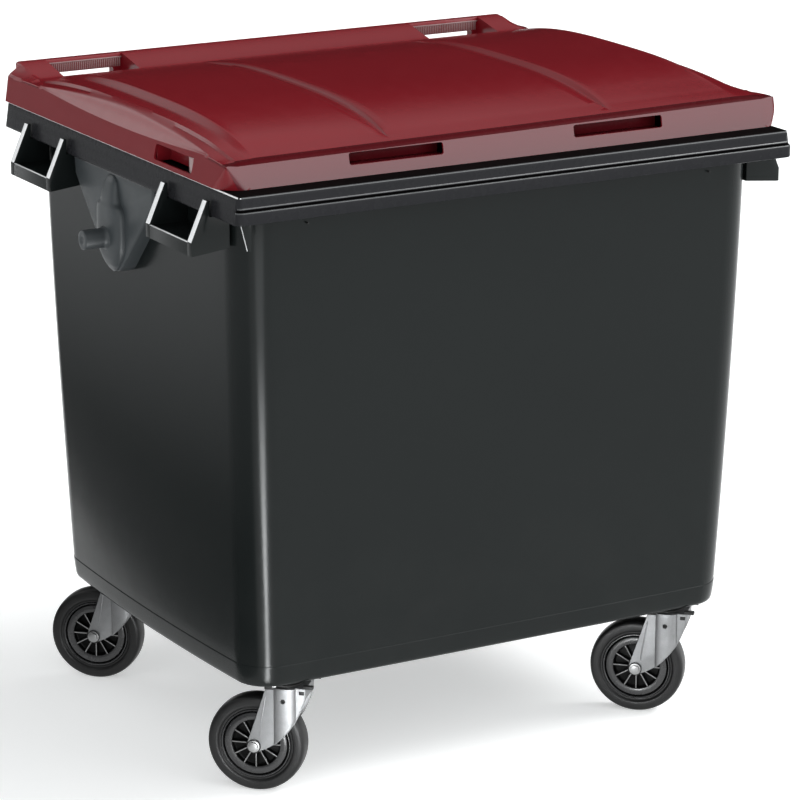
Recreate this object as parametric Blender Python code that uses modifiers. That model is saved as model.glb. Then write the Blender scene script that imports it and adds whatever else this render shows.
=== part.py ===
"""Four-wheel waste container with a rear-hinged lid.

Metres, +Z up, front of the bin faces -Y. All lengths below are in millimetres
and are scaled by MM when geometry is made. The origin is on the ground, in the
middle of the overall width and depth.
"""
import bpy
import bmesh
import math
from mathutils import Vector, Matrix

MM = 0.001
GAP = 0.3

# ---------------------------------------------------------------- dimensions
# body tub
BODY_Z0 = 245.0            # underside of the floor
BODY_Z1 = 1240.0           # where the outer wall meets the rim deck
BODY_HW0, BODY_HW1 = 560.5, 590.0      # half width of the wall, bottom and top
BODY_YF0, BODY_YF1 = -437.5, -466.0    # front wall, bottom and top
BODY_YR0, BODY_YR1 = 430.5, 465.0      # rear wall, bottom and top
BODY_R = 74.0              # plan radius of the tub corners
WALL = 5.0
FLOOR = 6.0
BOW0, BOW1 = 11.0, 3.0     # outward bow of the side walls, bottom and top
BAND_Z = 290.0             # top of the base band
# rim
RIM_HW, RIM_HD = 631.0, 529.0
RIM_TOP, RIM_BOTTOM = 1259.0, 1206.0
RIM_STEP_Z = 1236.0        # groove line on the front of the rim
RIM_LEAN = 7.0
RIM_R = 16.0
# lid
LID_HW = 628.0
LID_FRONT, LID_REAR = -470.0, 522.0
LID_BOTTOM = 1259.5
LID_CREASE = 1310.0
LID_T = 4.0
BAR_HW, BAR_REAR, BAR_TOP = 588.0, 556.0, 1335.0
GRIP_IN, GRIP_OUT = 362.0, 530.0       # rear hand openings, from the middle
GRIP_FLOOR = 1284.0
RAIL_Z = 1307.0
ARCH = 445.0              # half length of the arched roof
# hinge
HINGE_Y, HINGE_Z = 605.0, 1285.0
HINGE_X = 200.0
PIN_R = 7.0
# trunnions
TRUN_Y, TRUN_Z, TRUN_R, TRUN_X = 20.0, 1074.0, 20.0, 692.0
# side grips: centre planes of their side plates
GRIPS = {"rear": (219.0, 393.0), "front": (-415.0, -238.0)}
GRIP_PLATE = 18.0
# castors
CASTOR_X, CASTOR_YF, CASTOR_YR = 452.7, -371.0, 371.0
WHEEL_R, WHEEL_W = 100.0, 48.0
TRAIL = 55.0
SWIVEL_DEG = 47.0          # direction of all four castors at rest
AXLE_R = 6.0

KNUCKLE_R = 15.5

DY = -(HINGE_Y + KNUCKLE_R - RIM_HD) / 2.0  # puts the overall depth about the origin

# ------------------------------------------------------------------ clearing
for ob in list(bpy.data.objects):
    bpy.data.objects.remove(ob, do_unlink=True)
for col in list(bpy.data.collections):
    bpy.data.collections.remove(col)

PARTS = bpy.data.collections.new("waste_container")
CUTTERS = bpy.data.collections.new("cutters")
bpy.context.scene.collection.children.link(PARTS)
bpy.context.scene.collection.children.link(CUTTERS)


def material(name, rgb, rough, metal):
    m = bpy.data.materials.new(name)
    m.use_nodes = True
    b = m.node_tree.nodes["Principled BSDF"]
    b.inputs["Base Color"].default_value = (*rgb, 1.0)
    b.inputs["Roughness"].default_value = rough
    b.inputs["Metallic"].default_value = metal
    m.diffuse_color = (*rgb, 1.0)
    return m


M_BODY = material("body_plastic", (0.030, 0.035, 0.036), 0.38, 0.0)
M_TRIM = material("trunnion_plastic", (0.050, 0.056, 0.060), 0.42, 0.0)
M_LID = material("lid_plastic", (0.165, 0.018, 0.024), 0.36, 0.0)
M_ZINC = material("zinc_steel", (0.62, 0.63, 0.65), 0.35, 1.0)
M_HUB = material("hub_plastic", (0.028, 0.028, 0.030), 0.45, 0.0)
M_TYRE = material("tyre_rubber", (0.040, 0.040, 0.042), 0.62, 0.0)
M_PIN = material("pin_steel", (0.50, 0.51, 0.53), 0.40, 1.0)


# ------------------------------------------------------------------- helpers
def link(ob, mat, cutter=False):
    (CUTTERS if cutter else PARTS).objects.link(ob)
    if cutter:
        ob.hide_render = True
        ob.display_type = "WIRE"
    else:
        ob.data.materials.clear()
        ob.data.materials.append(mat)
    return ob


def from_bm(name, bm, mat=None, cutter=False, smooth=True):
    bmesh.ops.recalc_face_normals(bm, faces=bm.faces)
    for v in bm.verts:
        v.co *= MM
    me = bpy.data.meshes.new(name)
    bm.to_mesh(me)
    bm.free()
    if smooth:
        me.shade_smooth()
        me.set_sharp_from_angle(angle=math.radians(35))
    return link(bpy.data.objects.new(name, me), mat, cutter)


def box_bm(x0, x1, y0, y1, z0, z1):
    bm = bmesh.new()
    m = Matrix.Translation(((x0 + x1) / 2, (y0 + y1) / 2, (z0 + z1) / 2)) @ Matrix.Diagonal((x1 - x0, y1 - y0, z1 - z0, 1))
    bmesh.ops.create_cube(bm, size=1.0, matrix=m)
    return bm


def cyl_bm(r, a, b, axis="Z", seg=24, r2=None, at=(0, 0), rot=0.0):
    """Cylinder or cone from a to b along an axis; `at` is its place in the other two axes, in X, Y, Z order."""
    bm = bmesh.new()
    bmesh.ops.create_cone(bm, cap_ends=True, segments=seg, radius1=r, radius2=r if r2 is None else r2, depth=b - a)
    bmesh.ops.rotate(bm, verts=bm.verts, matrix=Matrix.Rotation(rot, 3, "Z"))
    mid = (a + b) / 2
    if axis == "Z":
        t = Matrix.Translation((at[0], at[1], mid))
    elif axis == "X":
        t = Matrix.Translation((mid, at[0], at[1])) @ Matrix.Rotation(math.pi / 2, 4, "Y")
    else:
        t = Matrix.Translation((at[0], mid, at[1])) @ Matrix.Rotation(-math.pi / 2, 4, "X")
    bmesh.ops.transform(bm, matrix=t, verts=bm.verts)
    return bm


def prism_bm(pts, a, b, axis="X"):
    """Flat outline extruded from a to b. For X the outline is (y, z), for Y it is (x, z), for Z it is (x, y)."""
    cu = bpy.data.curves.new("outline", "CURVE")
    cu.dimensions = "2D"
    cu.fill_mode = "BOTH"
    cu.extrude = (b - a) / 2
    sp = cu.splines.new("POLY")
    sp.points.add(len(pts) - 1)
    for p, q in zip(sp.points, pts):
        p.co = (q[0], q[1], 0, 1)
    sp.use_cyclic_u = True
    ob = bpy.data.objects.new("outline", cu)
    bpy.context.scene.collection.objects.link(ob)
    dg = bpy.context.evaluated_depsgraph_get()
    me = bpy.data.meshes.new_from_object(ob.evaluated_get(dg))
    bm = bmesh.new()
    bm.from_mesh(me)
    bpy.data.objects.remove(ob, do_unlink=True)
    bpy.data.meshes.remove(me)
    bmesh.ops.remove_doubles(bm, verts=bm.verts, dist=0.01)
    mid = (a + b) / 2
    if axis == "X":     # (u, v, w) -> (w, u, v)
        m = Matrix(((0, 0, 1, mid), (1, 0, 0, 0), (0, 1, 0, 0), (0, 0, 0, 1)))
    elif axis == "Y":   # (u, v, w) -> (u, w, v)
        m = Matrix(((1, 0, 0, 0), (0, 0, 1, mid), (0, 1, 0, 0), (0, 0, 0, 1)))
    else:
        m = Matrix.Translation((0, 0, mid))
    bmesh.ops.transform(bm, matrix=m, verts=bm.verts)
    bmesh.ops.recalc_face_normals(bm, faces=bm.faces)
    return bm


def lathe(name, profile, mat, axis="X", seg=32, cutter=False, closed=False):
    """Turned piece: profile of (radius, height) listed down the outer side, spun with a Screw modifier."""
    bm = bmesh.new()
    vs = [bm.verts.new((r * MM, 0, h * MM)) for r, h in profile]
    for a, b in zip(vs, vs[1:]):
        bm.edges.new((a, b))
    if closed:
        bm.edges.new((vs[-1], vs[0]))
    me = bpy.data.meshes.new(name)
    bm.to_mesh(me)
    bm.free()
    ob = bpy.data.objects.new(name, me)
    link(ob, mat, cutter)
    s = ob.modifiers.new("turn", "SCREW")
    s.axis = "Z"
    s.angle = 2 * math.pi
    s.steps = seg
    s.render_steps = seg
    s.use_merge_vertices = True
    s.merge_threshold = 0.00001
    s.use_smooth_shade = True
    s.use_normal_calculate = True
    if axis == "X":
        ob.rotation_euler = (0, math.pi / 2, 0)
    return ob


def boolean(ob, cutter, op="DIFFERENCE"):
    m = ob.modifiers.new(op.lower(), "BOOLEAN")
    m.operation = op
    m.object = cutter
    m.solver = "EXACT"
    return m


def bake(ob):
    """Replace an object's mesh by its evaluated mesh, so it can be copied or cut again."""
    dg = bpy.context.evaluated_depsgraph_get()
    dg.update()
    me = bpy.data.meshes.new_from_object(ob.evaluated_get(dg))
    mats = list(ob.data.materials)
    ob.modifiers.clear()
    ob.data = me
    ob.data.materials.clear()
    for m in mats:
        ob.data.materials.append(m)
    return ob


def join_all(name, bms, mat, cuts=(), smooth=True):
    """One solid from several overlapping ones, then cut."""
    base = from_bm(name, bms[0], mat, smooth=False)
    tools = []
    for i, b in enumerate(bms[1:]):
        t = from_bm(f"{name}_add{i}", b, None, cutter=True, smooth=False)
        boolean(base, t, "UNION")
        tools.append(t)
    for i, b in enumerate(cuts):
        t = from_bm(f"{name}_cut{i}", b, None, cutter=True, smooth=False)
        boolean(base, t)
        tools.append(t)
    bake(base)
    for t in tools:
        bpy.data.objects.remove(t, do_unlink=True)
    bm = bmesh.new()
    bm.from_mesh(base.data)
    bmesh.ops.remove_doubles(bm, verts=bm.verts, dist=0.00001)
    bmesh.ops.dissolve_degenerate(bm, edges=bm.edges, dist=0.00001)
    bm.to_mesh(base.data)
    bm.free()
    if smooth:
        base.data.shade_smooth()
        base.data.set_sharp_from_angle(angle=math.radians(35))
    return base


def circle_pts(cx, cy, r, a0, a1, n):
    return [(cx + r * math.cos(math.radians(a0 + (a1 - a0) * i / n)),
             cy + r * math.sin(math.radians(a0 + (a1 - a0) * i / n))) for i in range(n + 1)]


# ----------------------------------------------------------------- body tub
NC, NS = 5, 4     # segments in a corner, points along a side


def rounded(hw, yf, yr, r, z, bow=0.0, rear_bow=0.0):
    """Rounded rectangle, anticlockwise from the front right corner, with bowed sides."""
    corners = [(hw - r, yf + r, -90), (hw - r, yr - r, 0), (-hw + r, yr - r, 90), (-hw + r, yf + r, 180)]
    pts = []
    for k, (cx, cy, a0) in enumerate(corners):
        pts += circle_pts(cx, cy, r, a0, a0 + 90, NC)
        nx, ny, _ = corners[(k + 1) % 4]
        a = pts[-1]
        na = math.radians(a0 + 90)
        b = (nx + r * math.cos(na), ny + r * math.sin(na))
        for i in range(1, NS):
            t = i / NS
            s = 4 * t * (1 - t)
            off = bow if k in (0, 2) else rear_bow
            pts.append((a[0] + (b[0] - a[0]) * t + math.cos(na) * off * s,
                        a[1] + (b[1] - a[1]) * t + math.sin(na) * off * s))
    return [Vector((p[0], p[1], z)) for p in pts]


def wall_at(z, inset=0.0, base=0.0):
    """Ring of the tub wall at a height. The walls are steeper near the top."""
    t = (BODY_Z1 - z) / (BODY_Z1 - BODY_Z0)
    u, w = 1 - t ** 1.5, 1 - t ** 1.3
    i = inset + base
    return rounded(BODY_HW0 + (BODY_HW1 - BODY_HW0) * u - i,
                   BODY_YF0 + (BODY_YF1 - BODY_YF0) * w + i,
                   BODY_YR0 + (BODY_YR1 - BODY_YR0) * w - i,
                   BODY_R - i, z, BOW0 + (BOW1 - BOW0) * u, 2.0)


def rim_ring(d, z, r=None):
    """Ring parallel to the rim's outer edge, d inside it."""
    return rounded(RIM_HW - d, -RIM_HD + d, RIM_HD - d, max(RIM_R - d, 6.0) if r is None else r, z)


def loft(rings, cap=True):
    bm = bmesh.new()
    loops = [[bm.verts.new(p) for p in ring] for ring in rings]
    for a, b in zip(loops, loops[1:]):
        n = len(a)
        for i in range(n):
            bm.faces.new((a[i], a[(i + 1) % n], b[(i + 1) % n], b[i]))
    if cap:
        bm.faces.new(list(reversed(loops[0])))
        bm.faces.new(loops[-1])
    return bm


levels = [420, 620, 850, 1060]
rings = [wall_at(BODY_Z0, base=11.0), wall_at(BODY_Z0 + 4, base=4.5), wall_at(BODY_Z0 + 11, base=2.2),
         wall_at(BAND_Z, base=0.5), wall_at(BAND_Z + 6)]
rings += [wall_at(z) for z in levels] + [wall_at(BODY_Z1)]
rings += [rim_ring(RIM_LEAN + 5.0, RIM_TOP - 5.0), rim_ring(5.0, RIM_BOTTOM), rim_ring(0.0, RIM_BOTTOM),
          rim_ring(0.0, RIM_STEP_Z), rim_ring(RIM_LEAN - 0.8, RIM_STEP_Z + 3), rim_ring(RIM_LEAN, RIM_TOP - 2),
          rim_ring(RIM_LEAN + 2, RIM_TOP)]
rings += [wall_at(BODY_Z1, WALL)]
for v in rings[-1]:
    v.z = RIM_TOP
rings += [wall_at(BODY_Z1 - 20, WALL)] + [wall_at(z, WALL) for z in reversed(levels)]
rings += [wall_at(BAND_Z, WALL, 0.5), wall_at(BODY_Z0 + FLOOR, WALL, 8.0)]
tub = loft(rings)

castors = {"front_left": (-CASTOR_X, CASTOR_YF), "front_right": (CASTOR_X, CASTOR_YF),
           "rear_left": (-CASTOR_X, CASTOR_YR), "rear_right": (CASTOR_X, CASTOR_YR)}
BOLT_X, BOLT_Y = 40.0, 30.0
DRAIN = (0.0, -150.0)
adds, cuts = [], []
for cx, cy in castors.values():
    adds.append(box_bm(cx - 58, cx + 58, cy - 48, cy + 48, BODY_Z0 + 2, BODY_Z0 + 16))
    for sx in (-1, 1):
        for sy in (-1, 1):
            cuts.append(cyl_bm(4.5, BODY_Z0 - 5, BODY_Z0 + 13, at=(cx + sx * BOLT_X, cy + sy * BOLT_Y), seg=10))
cuts.append(cyl_bm(25.0, BODY_Z0 - 5, BODY_Z0 + 30, at=DRAIN, seg=24))
body = join_all("body_shell", [tub] + adds, M_BODY, cuts)

# drain plug, screwed into the floor from below
join_all("drain_plug", [cyl_bm(32.0, BODY_Z0 - 6, BODY_Z0 - GAP, at=DRAIN, seg=24),
                        cyl_bm(24.3, BODY_Z0 - 3, BODY_Z0 + 14, at=DRAIN, seg=24),
                        box_bm(DRAIN[0] - 18, DRAIN[0] + 18, DRAIN[1] - 4, DRAIN[1] + 4, BODY_Z0 - 14, BODY_Z0 - 4)], M_BODY)

# ------------------------------------------------------------- side grips
GX_IN = 596.0     # inner plane of the grips, just clear of the bowed wall


def grip(name, y0, y1, side):
    out = [(GX_IN, RIM_BOTTOM - GAP), (652.0, RIM_BOTTOM - GAP), (673.0, 1158.0), (673.0, 1132.0), (GX_IN, 1132.0)]
    sgn = 1 if side == "right" else -1
    a, b = y0 - GRIP_PLATE / 2, y1 + GRIP_PLATE / 2

    def xz(pts):
        return [(sgn * x, z) for x, z in pts]
    solid = prism_bm(xz(out), a, b, "Y")
    hollow = prism_bm(xz([(GX_IN - 20, 1158.0), (GX_IN - 20, 1240.0), (700, 1240.0), (700, 1158.0)]), y0 + GRIP_PLATE / 2, y1 - GRIP_PLATE / 2, "Y")
    under = prism_bm(xz([(GX_IN - 20, 1120.0), (668.0, 1120.0), (668.0, 1153.0), (GX_IN - 20, 1153.0)]), y0 + GRIP_PLATE / 2, y1 - GRIP_PLATE / 2, "Y")
    return join_all(name, [solid], M_BODY, [hollow, under], smooth=False)


for end, (y0, y1) in GRIPS.items():
    for side in ("left", "right"):
        grip(f"grip_pocket_{end}_{side}", y0, y1, side)

# -------------------------------------------------------------- trunnions
TX0, TX1 = 594.5, 612.0


def trunnion(side):
    s = 1 if side == "right" else -1
    lo, hi = (TX0, TX1) if s > 0 else (-TX1, -TX0)
    half = 178.0
    outline = [(TRUN_Y - half, 1240.0), (TRUN_Y - half, 1190.0)]
    outline += [(TRUN_Y + y, z) for y, z in circle_pts(0, 1004.0, 16.0, 200, 340, 6)]
    outline += [(TRUN_Y + half, 1190.0), (TRUN_Y + half, 1240.0)]
    plate = prism_bm(outline, lo, hi, "X")
    pin = cyl_bm(TRUN_R, TX0 + 4 if s > 0 else -TRUN_X, TRUN_X if s > 0 else -TX0 - 4, "X", 32, at=(TRUN_Y, TRUN_Z))
    collar = cyl_bm(27.0, TX0 + 4 if s > 0 else -TX1 - 18, TX1 + 18 if s > 0 else -TX0 - 4, "X", 32, at=(TRUN_Y, TRUN_Z))
    rib = cyl_bm(24.0, TRUN_Z - 45, TRUN_Z + 45, "Z", 20, at=(s * TX1, TRUN_Y))
    cone = cyl_bm(24.0, TRUN_Z + 44, 1200.0, "Z", 20, r2=6.0, at=(s * TX1, TRUN_Y))
    tail = cyl_bm(6.0, 1000.0, TRUN_Z - 44, "Z", 20, r2=24.0, at=(s * TX1, TRUN_Y))
    keep = box_bm(*((TX0, 800.0) if s > 0 else (-800.0, -TX0)), -400, 400, 900, 1300)
    ob = join_all(f"trunnion_{side}", [plate, rib, cone, tail, collar, pin], M_TRIM)
    k = from_bm("keep", keep, None, cutter=True, smooth=False)
    boolean(ob, k, "INTERSECT")
    bake(ob)
    bpy.data.objects.remove(k, do_unlink=True)
    ob.data.shade_smooth()
    ob.data.set_sharp_from_angle(angle=math.radians(35))


trunnion("left")
trunnion("right")


# -------------------------------------------------------------------- lid
def arch(y):
    return max(0.0, 1 - abs((y + 5.0) / ARCH) ** 3)


# rise of the arch at distances from the middle: flat roof, step down, side panel, edge
RISE = ((0, 48.0), (533, 48.0), (546, 49.0), (562, 34.0), (588, 30.0), (598, 26.0))


def roof_z(ax, a):
    """Height of the roof at distance ax from the middle."""
    for (x0, k0), (x1, k1) in zip(RISE, RISE[1:]):
        if ax <= x1:
            return 1312 + a * (k0 + (k1 - k0) * (ax - x0) / (x1 - x0))


def rear_z(ax, y):
    """Rear of the lid rises to the bar; in the hand recesses it drops to their floor."""
    t = min(1.0, max(0.0, (y - 430.0) / 105.0))
    if GRIP_IN <= ax <= GRIP_OUT:
        return GRIP_FLOOR
    return 1312 + (BAR_TOP - 1312) * t


cols = [0, 120, 240, GRIP_IN - 3, GRIP_IN, 446, 510, GRIP_OUT, GRIP_OUT + 3, 546, 562, 588, 598]
rows = [-461.0, -447.0, -400.0, -330.0, -240.0, -120.0, 0.0, 120.0, 230.0, 320.0, 390.0, 430.0, 442.0, 446.0, 480.0, 522.0, 535.0, BAR_REAR]
bm = bmesh.new()
grid = []
for j, y in enumerate(rows):
    a = arch(y)
    line = []
    for sx in [-c for c in reversed(cols)] + cols[1:]:
        ax = abs(sx)
        if y > 443.0:
            z = rear_z(ax, y)
        elif y >= 430.0:
            z = 1310.0 if GRIP_IN <= ax <= GRIP_OUT else max(roof_z(ax, a), rear_z(ax, y))
        else:
            z = roof_z(ax, a)
        if j == 0:
            z = LID_CREASE
        line.append(bm.verts.new((sx, y, z)))
    grid.append(line)
nx = len(grid[0])
for j in range(len(rows) - 1):
    for i in range(nx - 1):
        ax = min(abs(grid[j][i].co.x), abs(grid[j][i + 1].co.x))
        if rows[j] >= 522.0 and ax >= 588:
            continue
        bm.faces.new((grid[j][i], grid[j][i + 1], grid[j + 1][i + 1], grid[j + 1][i]))
# side flanks: leaf-shaped facet, then the skirt
for s in (-1, 1):
    edge = 0 if s < 0 else nx - 1
    up, mid, low = [], [], []
    for j, y in enumerate(rows):
        if y > 522.0:
            break
        a = arch(y)
        yy = LID_FRONT if j == 0 else y
        leaf_z = LID_CREASE - 1 - 9 * a
        leaf_x = LID_HW - 19 * (leaf_z - LID_BOTTOM) / (LID_CREASE - LID_BOTTOM)
        up.append(grid[j][edge])
        mid.append(bm.verts.new((s * leaf_x, y, leaf_z)))
        low.append(bm.verts.new((s * LID_HW, yy, LID_BOTTOM)))
    for j in range(len(up) - 1):
        bm.faces.new((up[j], up[j + 1], mid[j + 1], mid[j]))
        bm.faces.new((mid[j], mid[j + 1], low[j + 1], low[j]))
    if s < 0:
        ml, ll = mid, low
    else:
        mr, lr = mid, low
# front skirt
front_low = [ll[0]] + [bm.verts.new((v.co.x, LID_FRONT, LID_BOTTOM)) for v in grid[0]] + [lr[0]]
front_up = [ml[0]] + grid[0] + [mr[0]]
for i in range(len(front_up) - 1):
    bm.faces.new((front_up[i], front_up[i + 1], front_low[i + 1], front_low[i]))
# rear skirt: outer corners, then round the bar
jr = rows.index(522.0)
i588l = [i for i in range(nx) if abs(grid[0][i].co.x + 588) < 1][0]
i588r = [i for i in range(nx) if abs(grid[0][i].co.x - 588) < 1][0]
path = [ml[-1]] + [grid[jr][i] for i in range(0, i588l + 1)] + [grid[j][i588l] for j in range(jr + 1, len(rows))]
path += [grid[-1][i] for i in range(i588l + 1, i588r + 1)] + [grid[j][i588r] for j in range(len(rows) - 2, jr - 1, -1)]
path += [grid[jr][i] for i in range(i588r + 1, nx)] + [mr[-1]]
lows = [ll[-1]] + [bm.verts.new((v.co.x, v.co.y, LID_BOTTOM)) for v in path[1:-1]] + [lr[-1]]
for i in range(len(path) - 1):
    bm.faces.new((path[i], path[i + 1], lows[i + 1], lows[i]))
bmesh.ops.delete(bm, geom=[v for v in bm.verts if not v.link_faces], context="VERTS")
bmesh.ops.recalc_face_normals(bm, faces=bm.faces)
top = max(bm.faces, key=lambda f: f.calc_center_median().z)
if top.normal.z < 0:
    bmesh.ops.reverse_faces(bm, faces=bm.faces)
for v in bm.verts:
    v.co *= MM
me = bpy.data.meshes.new("lid_shell")
bm.to_mesh(me)
bm.free()
lid = link(bpy.data.objects.new("lid_shell", me), M_LID)
so = lid.modifiers.new("thickness", "SOLIDIFY")
so.thickness = LID_T * MM
so.offset = -1.0
so.use_even_offset = False
bake(lid)
for v in lid.data.vertices:      # the lower edge of the skirt is flat all the way round
    v.co.z = max(v.co.z, LID_BOTTOM * MM)


def tool(name, bm_, op):
    t = from_bm(name, bm_, None, cutter=True, smooth=False)
    boolean(lid, t, op)
    bake(lid)
    bpy.data.objects.remove(t, do_unlink=True)


# front hand slots and side recesses are cut through the skirt
for s in (-1, 1):
    x0, x1 = sorted((s * 149.0, s * 356.0))
    tool("front_slot", box_bm(x0, x1, LID_FRONT - 30, LID_FRONT + 40, 1282.0, 1302.0), "DIFFERENCE")
    # rail over each rear hand opening
    x0, x1 = sorted((s * (GRIP_IN - 14), s * (GRIP_OUT + 14)))
    tool("rail", box_bm(x0, x1, 537.0, BAR_REAR, RAIL_Z, BAR_TOP - 1), "UNION")
    # knuckle with its bore
    kn = [(BAR_REAR - 3, 1292.0), (BAR_REAR - 3, 1331.0), (HINGE_Y, HINGE_Z + 15.5)]
    kn += circle_pts(HINGE_Y, HINGE_Z, 15.5, 78, -90, 8) + [(HINGE_Y - 18, HINGE_Z - 10)]
    tool("knuckle", prism_bm(kn, s * HINGE_X - 22, s * HINGE_X + 22, "X"), "UNION")
    tool("bore", cyl_bm(PIN_R + 0.7, s * HINGE_X - 30, s * HINGE_X + 30, "X", 16, at=(HINGE_Y, HINGE_Z)), "DIFFERENCE")
bm = bmesh.new()
bm.from_mesh(lid.data)
bmesh.ops.remove_doubles(bm, verts=bm.verts, dist=0.00001)
bm.to_mesh(lid.data)
bm.free()
lid.data.shade_smooth()
lid.data.set_sharp_from_angle(angle=math.radians(30))

# hinge brackets on the rear of the rim, with their pins
for s, side in ((-1, "left"), (1, "right")):
    yz = [(-76 + GAP, -30), (-50, -27), (-14, 8)] + circle_pts(0, 0, KNUCKLE_R, 150, -75, 15) + [(-24, -40), (-52, -45), (-56, -58), (-76 + GAP, -62)]
    arm = [(HINGE_Y + y, HINGE_Z + z) for y, z in yz]
    hx = s * HINGE_X
    join_all(f"hinge_bracket_{side}",
             [prism_bm(arm, hx - 32, hx - 24, "X"), prism_bm(arm, hx + 24, hx + 32, "X"),
              box_bm(hx - 40, hx + 40, RIM_HD + GAP, RIM_HD + 5, HINGE_Z - 66, HINGE_Z - 28)],
             M_TRIM, [cyl_bm(PIN_R + 0.5, hx - 60, hx + 60, "X", 16, at=(HINGE_Y, HINGE_Z))])
    join_all(f"hinge_pin_{side}",
             [cyl_bm(PIN_R, hx - 38, hx + 38, "X", 16, at=(HINGE_Y, HINGE_Z)),
              cyl_bm(12.0, hx + 32.4, hx + 37, "X", 16, at=(HINGE_Y, HINGE_Z)),
              cyl_bm(12.0, hx - 37, hx - 32.4, "X", 16, at=(HINGE_Y, HINGE_Z))], M_PIN)

# ---------------------------------------------------------------- castors
PLATE_TOP = BODY_Z0 - GAP
PLATE_BOT = PLATE_TOP - 3.0
CROWN_TOP, CROWN_T = 229.0, 3.0


def castor(name, cx, cy):
    base = Matrix.Translation((cx * MM, cy * MM, 0))
    turn = base @ Matrix.Rotation(math.radians(SWIVEL_DEG), 4, "Z")

    def place(ob, m, axle=False):
        """Give a piece its origin on the swivel or wheel axis, then stand it in place."""
        shift = Vector((0, TRAIL * MM, WHEEL_R * MM)) if axle else Vector((0, 0, 0))
        ob.data.transform(Matrix.Translation(-shift))
        ob.matrix_world = m @ Matrix.Translation(shift)
        return ob

    # plate with its pressed upper race
    holes = [cyl_bm(4.5, 200, 260, at=(sx * BOLT_X, sy * BOLT_Y), seg=10) for sx in (-1, 1) for sy in (-1, 1)]
    holes.append(cyl_bm(6.6, 200, 260, seg=16))
    place(join_all(f"castor_{name}_top_plate",
                   [prism_bm([(-52, -36), (-46, -42), (46, -42), (52, -36), (52, 36), (46, 42), (-46, 42), (-52, 36)], PLATE_BOT, PLATE_TOP, "Z"),
                    cyl_bm(30.0, CROWN_TOP + GAP, PLATE_BOT + 1, seg=24, r2=36.0)], M_ZINC, holes), base)
    for k, (sx, sy) in enumerate(((-1, -1), (1, -1), (1, 1), (-1, 1))):
        place(join_all(f"castor_{name}_bolt_{k + 1}",
                       [cyl_bm(7.5, PLATE_BOT - GAP - 5.5, PLATE_BOT - GAP, at=(sx * BOLT_X, sy * BOLT_Y), seg=6),
                        cyl_bm(4.0, PLATE_BOT - 3, BODY_Z0 + 12, at=(sx * BOLT_X, sy * BOLT_Y), seg=8)], M_ZINC), base)
    place(join_all(f"castor_{name}_kingpin",
                   [cyl_bm(6.0, CROWN_TOP - CROWN_T - 12, PLATE_TOP, seg=16),
                    cyl_bm(14.0, CROWN_TOP - CROWN_T - GAP - 9, CROWN_TOP - CROWN_T - GAP, seg=6)], M_ZINC), base)
    # fork: two pressed legs and a crown, with a rolled nose between them
    leg = [(30.0, CROWN_TOP), (36.0, 207.0), (68.5, 106.0)]
    leg += circle_pts(TRAIL, WHEEL_R, 14.5, 0, -115, 6)
    leg += [(14.0, 106.0), (0.7, 118.0), (-16.0, 137.0), (-29.0, 156.0), (-39.0, 177.0), (-48.0, 201.0), (-50.0, CROWN_TOP)]
    fork = [prism_bm(leg, -35.0, -32.0, "X"), prism_bm(leg, 32.0, 35.0, "X"),
            box_bm(-34, 34, -50, 30, CROWN_TOP - CROWN_T, CROWN_TOP),
            cyl_bm(10.0, -36.5, -32.5, "X", 16, at=(TRAIL, WHEEL_R)), cyl_bm(10.0, 32.5, 36.5, "X", 16, at=(TRAIL, WHEEL_R))]
    place(join_all(f"castor_{name}_fork", fork, M_ZINC,
                   [cyl_bm(6.9, 210, 250, seg=16), cyl_bm(AXLE_R + 0.5, -60, 60, "X", 16, at=(TRAIL, WHEEL_R))]), turn)
    # axle bolt with a hex head, and its nut
    place(join_all(f"castor_{name}_axle_bolt",
                   [cyl_bm(AXLE_R, -40, 43, "X", 16, at=(TRAIL, WHEEL_R)),
                    cyl_bm(10.5, -44, -36.8, "X", 6, at=(TRAIL, WHEEL_R))], M_ZINC), turn)
    place(join_all(f"castor_{name}_axle_nut", [cyl_bm(10.5, 36.8, 42.0, "X", 6, at=(TRAIL, WHEEL_R))], M_ZINC,
                   [cyl_bm(AXLE_R + 0.5, 30, 50, "X", 16, at=(TRAIL, WHEEL_R))]), turn)
    # wheel: ribbed plastic centre and a solid rubber tyre, turned about the axle
    b, w = 71.4, WHEEL_W / 2
    hub = lathe(f"castor_{name}_hub", [(17.0, 30.5), (19.0, 8.0), (57.0, 5.0), (59.0, 20.0), (b, 20.0), (b, -20.0), (59.0, -20.0),
                                       (57.0, -5.0), (19.0, -8.0), (17.0, -30.5), (6.8, -30.5), (6.8, 30.5)], M_HUB, seg=20, closed=True)
    tyre = lathe(f"castor_{name}_tyre", [(72.6, 21.0), (80.0, w), (93.0, w - 1.5), (98.5, 12.0), (WHEEL_R, 0.0), (98.5, -12.0),
                                         (93.0, 1.5 - w), (80.0, -w), (72.6, -21.0)], M_TYRE, seg=32, closed=True)
    for ob in (hub, tyre):
        ob.rotation_euler = (0, 0, 0)
        bake(ob)
        t = bmesh.new()
        t.from_mesh(ob.data)
        bmesh.ops.recalc_face_normals(t, faces=t.faces)
        t.to_mesh(ob.data)
        t.free()
        ob.data.transform(Matrix.Rotation(math.pi / 2, 4, "Y"))
        ob.matrix_world = turn @ Matrix.Translation((0, TRAIL * MM, WHEEL_R * MM))
        ob.data.shade_smooth()
        ob.data.set_sharp_from_angle(angle=math.radians(35))


for name, (cx, cy) in castors.items():
    castor(name, cx, cy)

# the lid's origin goes on its hinge axis, then everything moves to the final frame
lid.data.transform(Matrix.Translation((0, -HINGE_Y * MM, -HINGE_Z * MM)))
lid.matrix_world = Matrix.Translation((0, HINGE_Y * MM, HINGE_Z * MM))
for ob in PARTS.objects:
    ob.matrix_world = Matrix.Translation((0, DY * MM, 0)) @ ob.matrix_world
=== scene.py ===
import math
import bpy
import bmesh
from mathutils import Matrix, Vector


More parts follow.
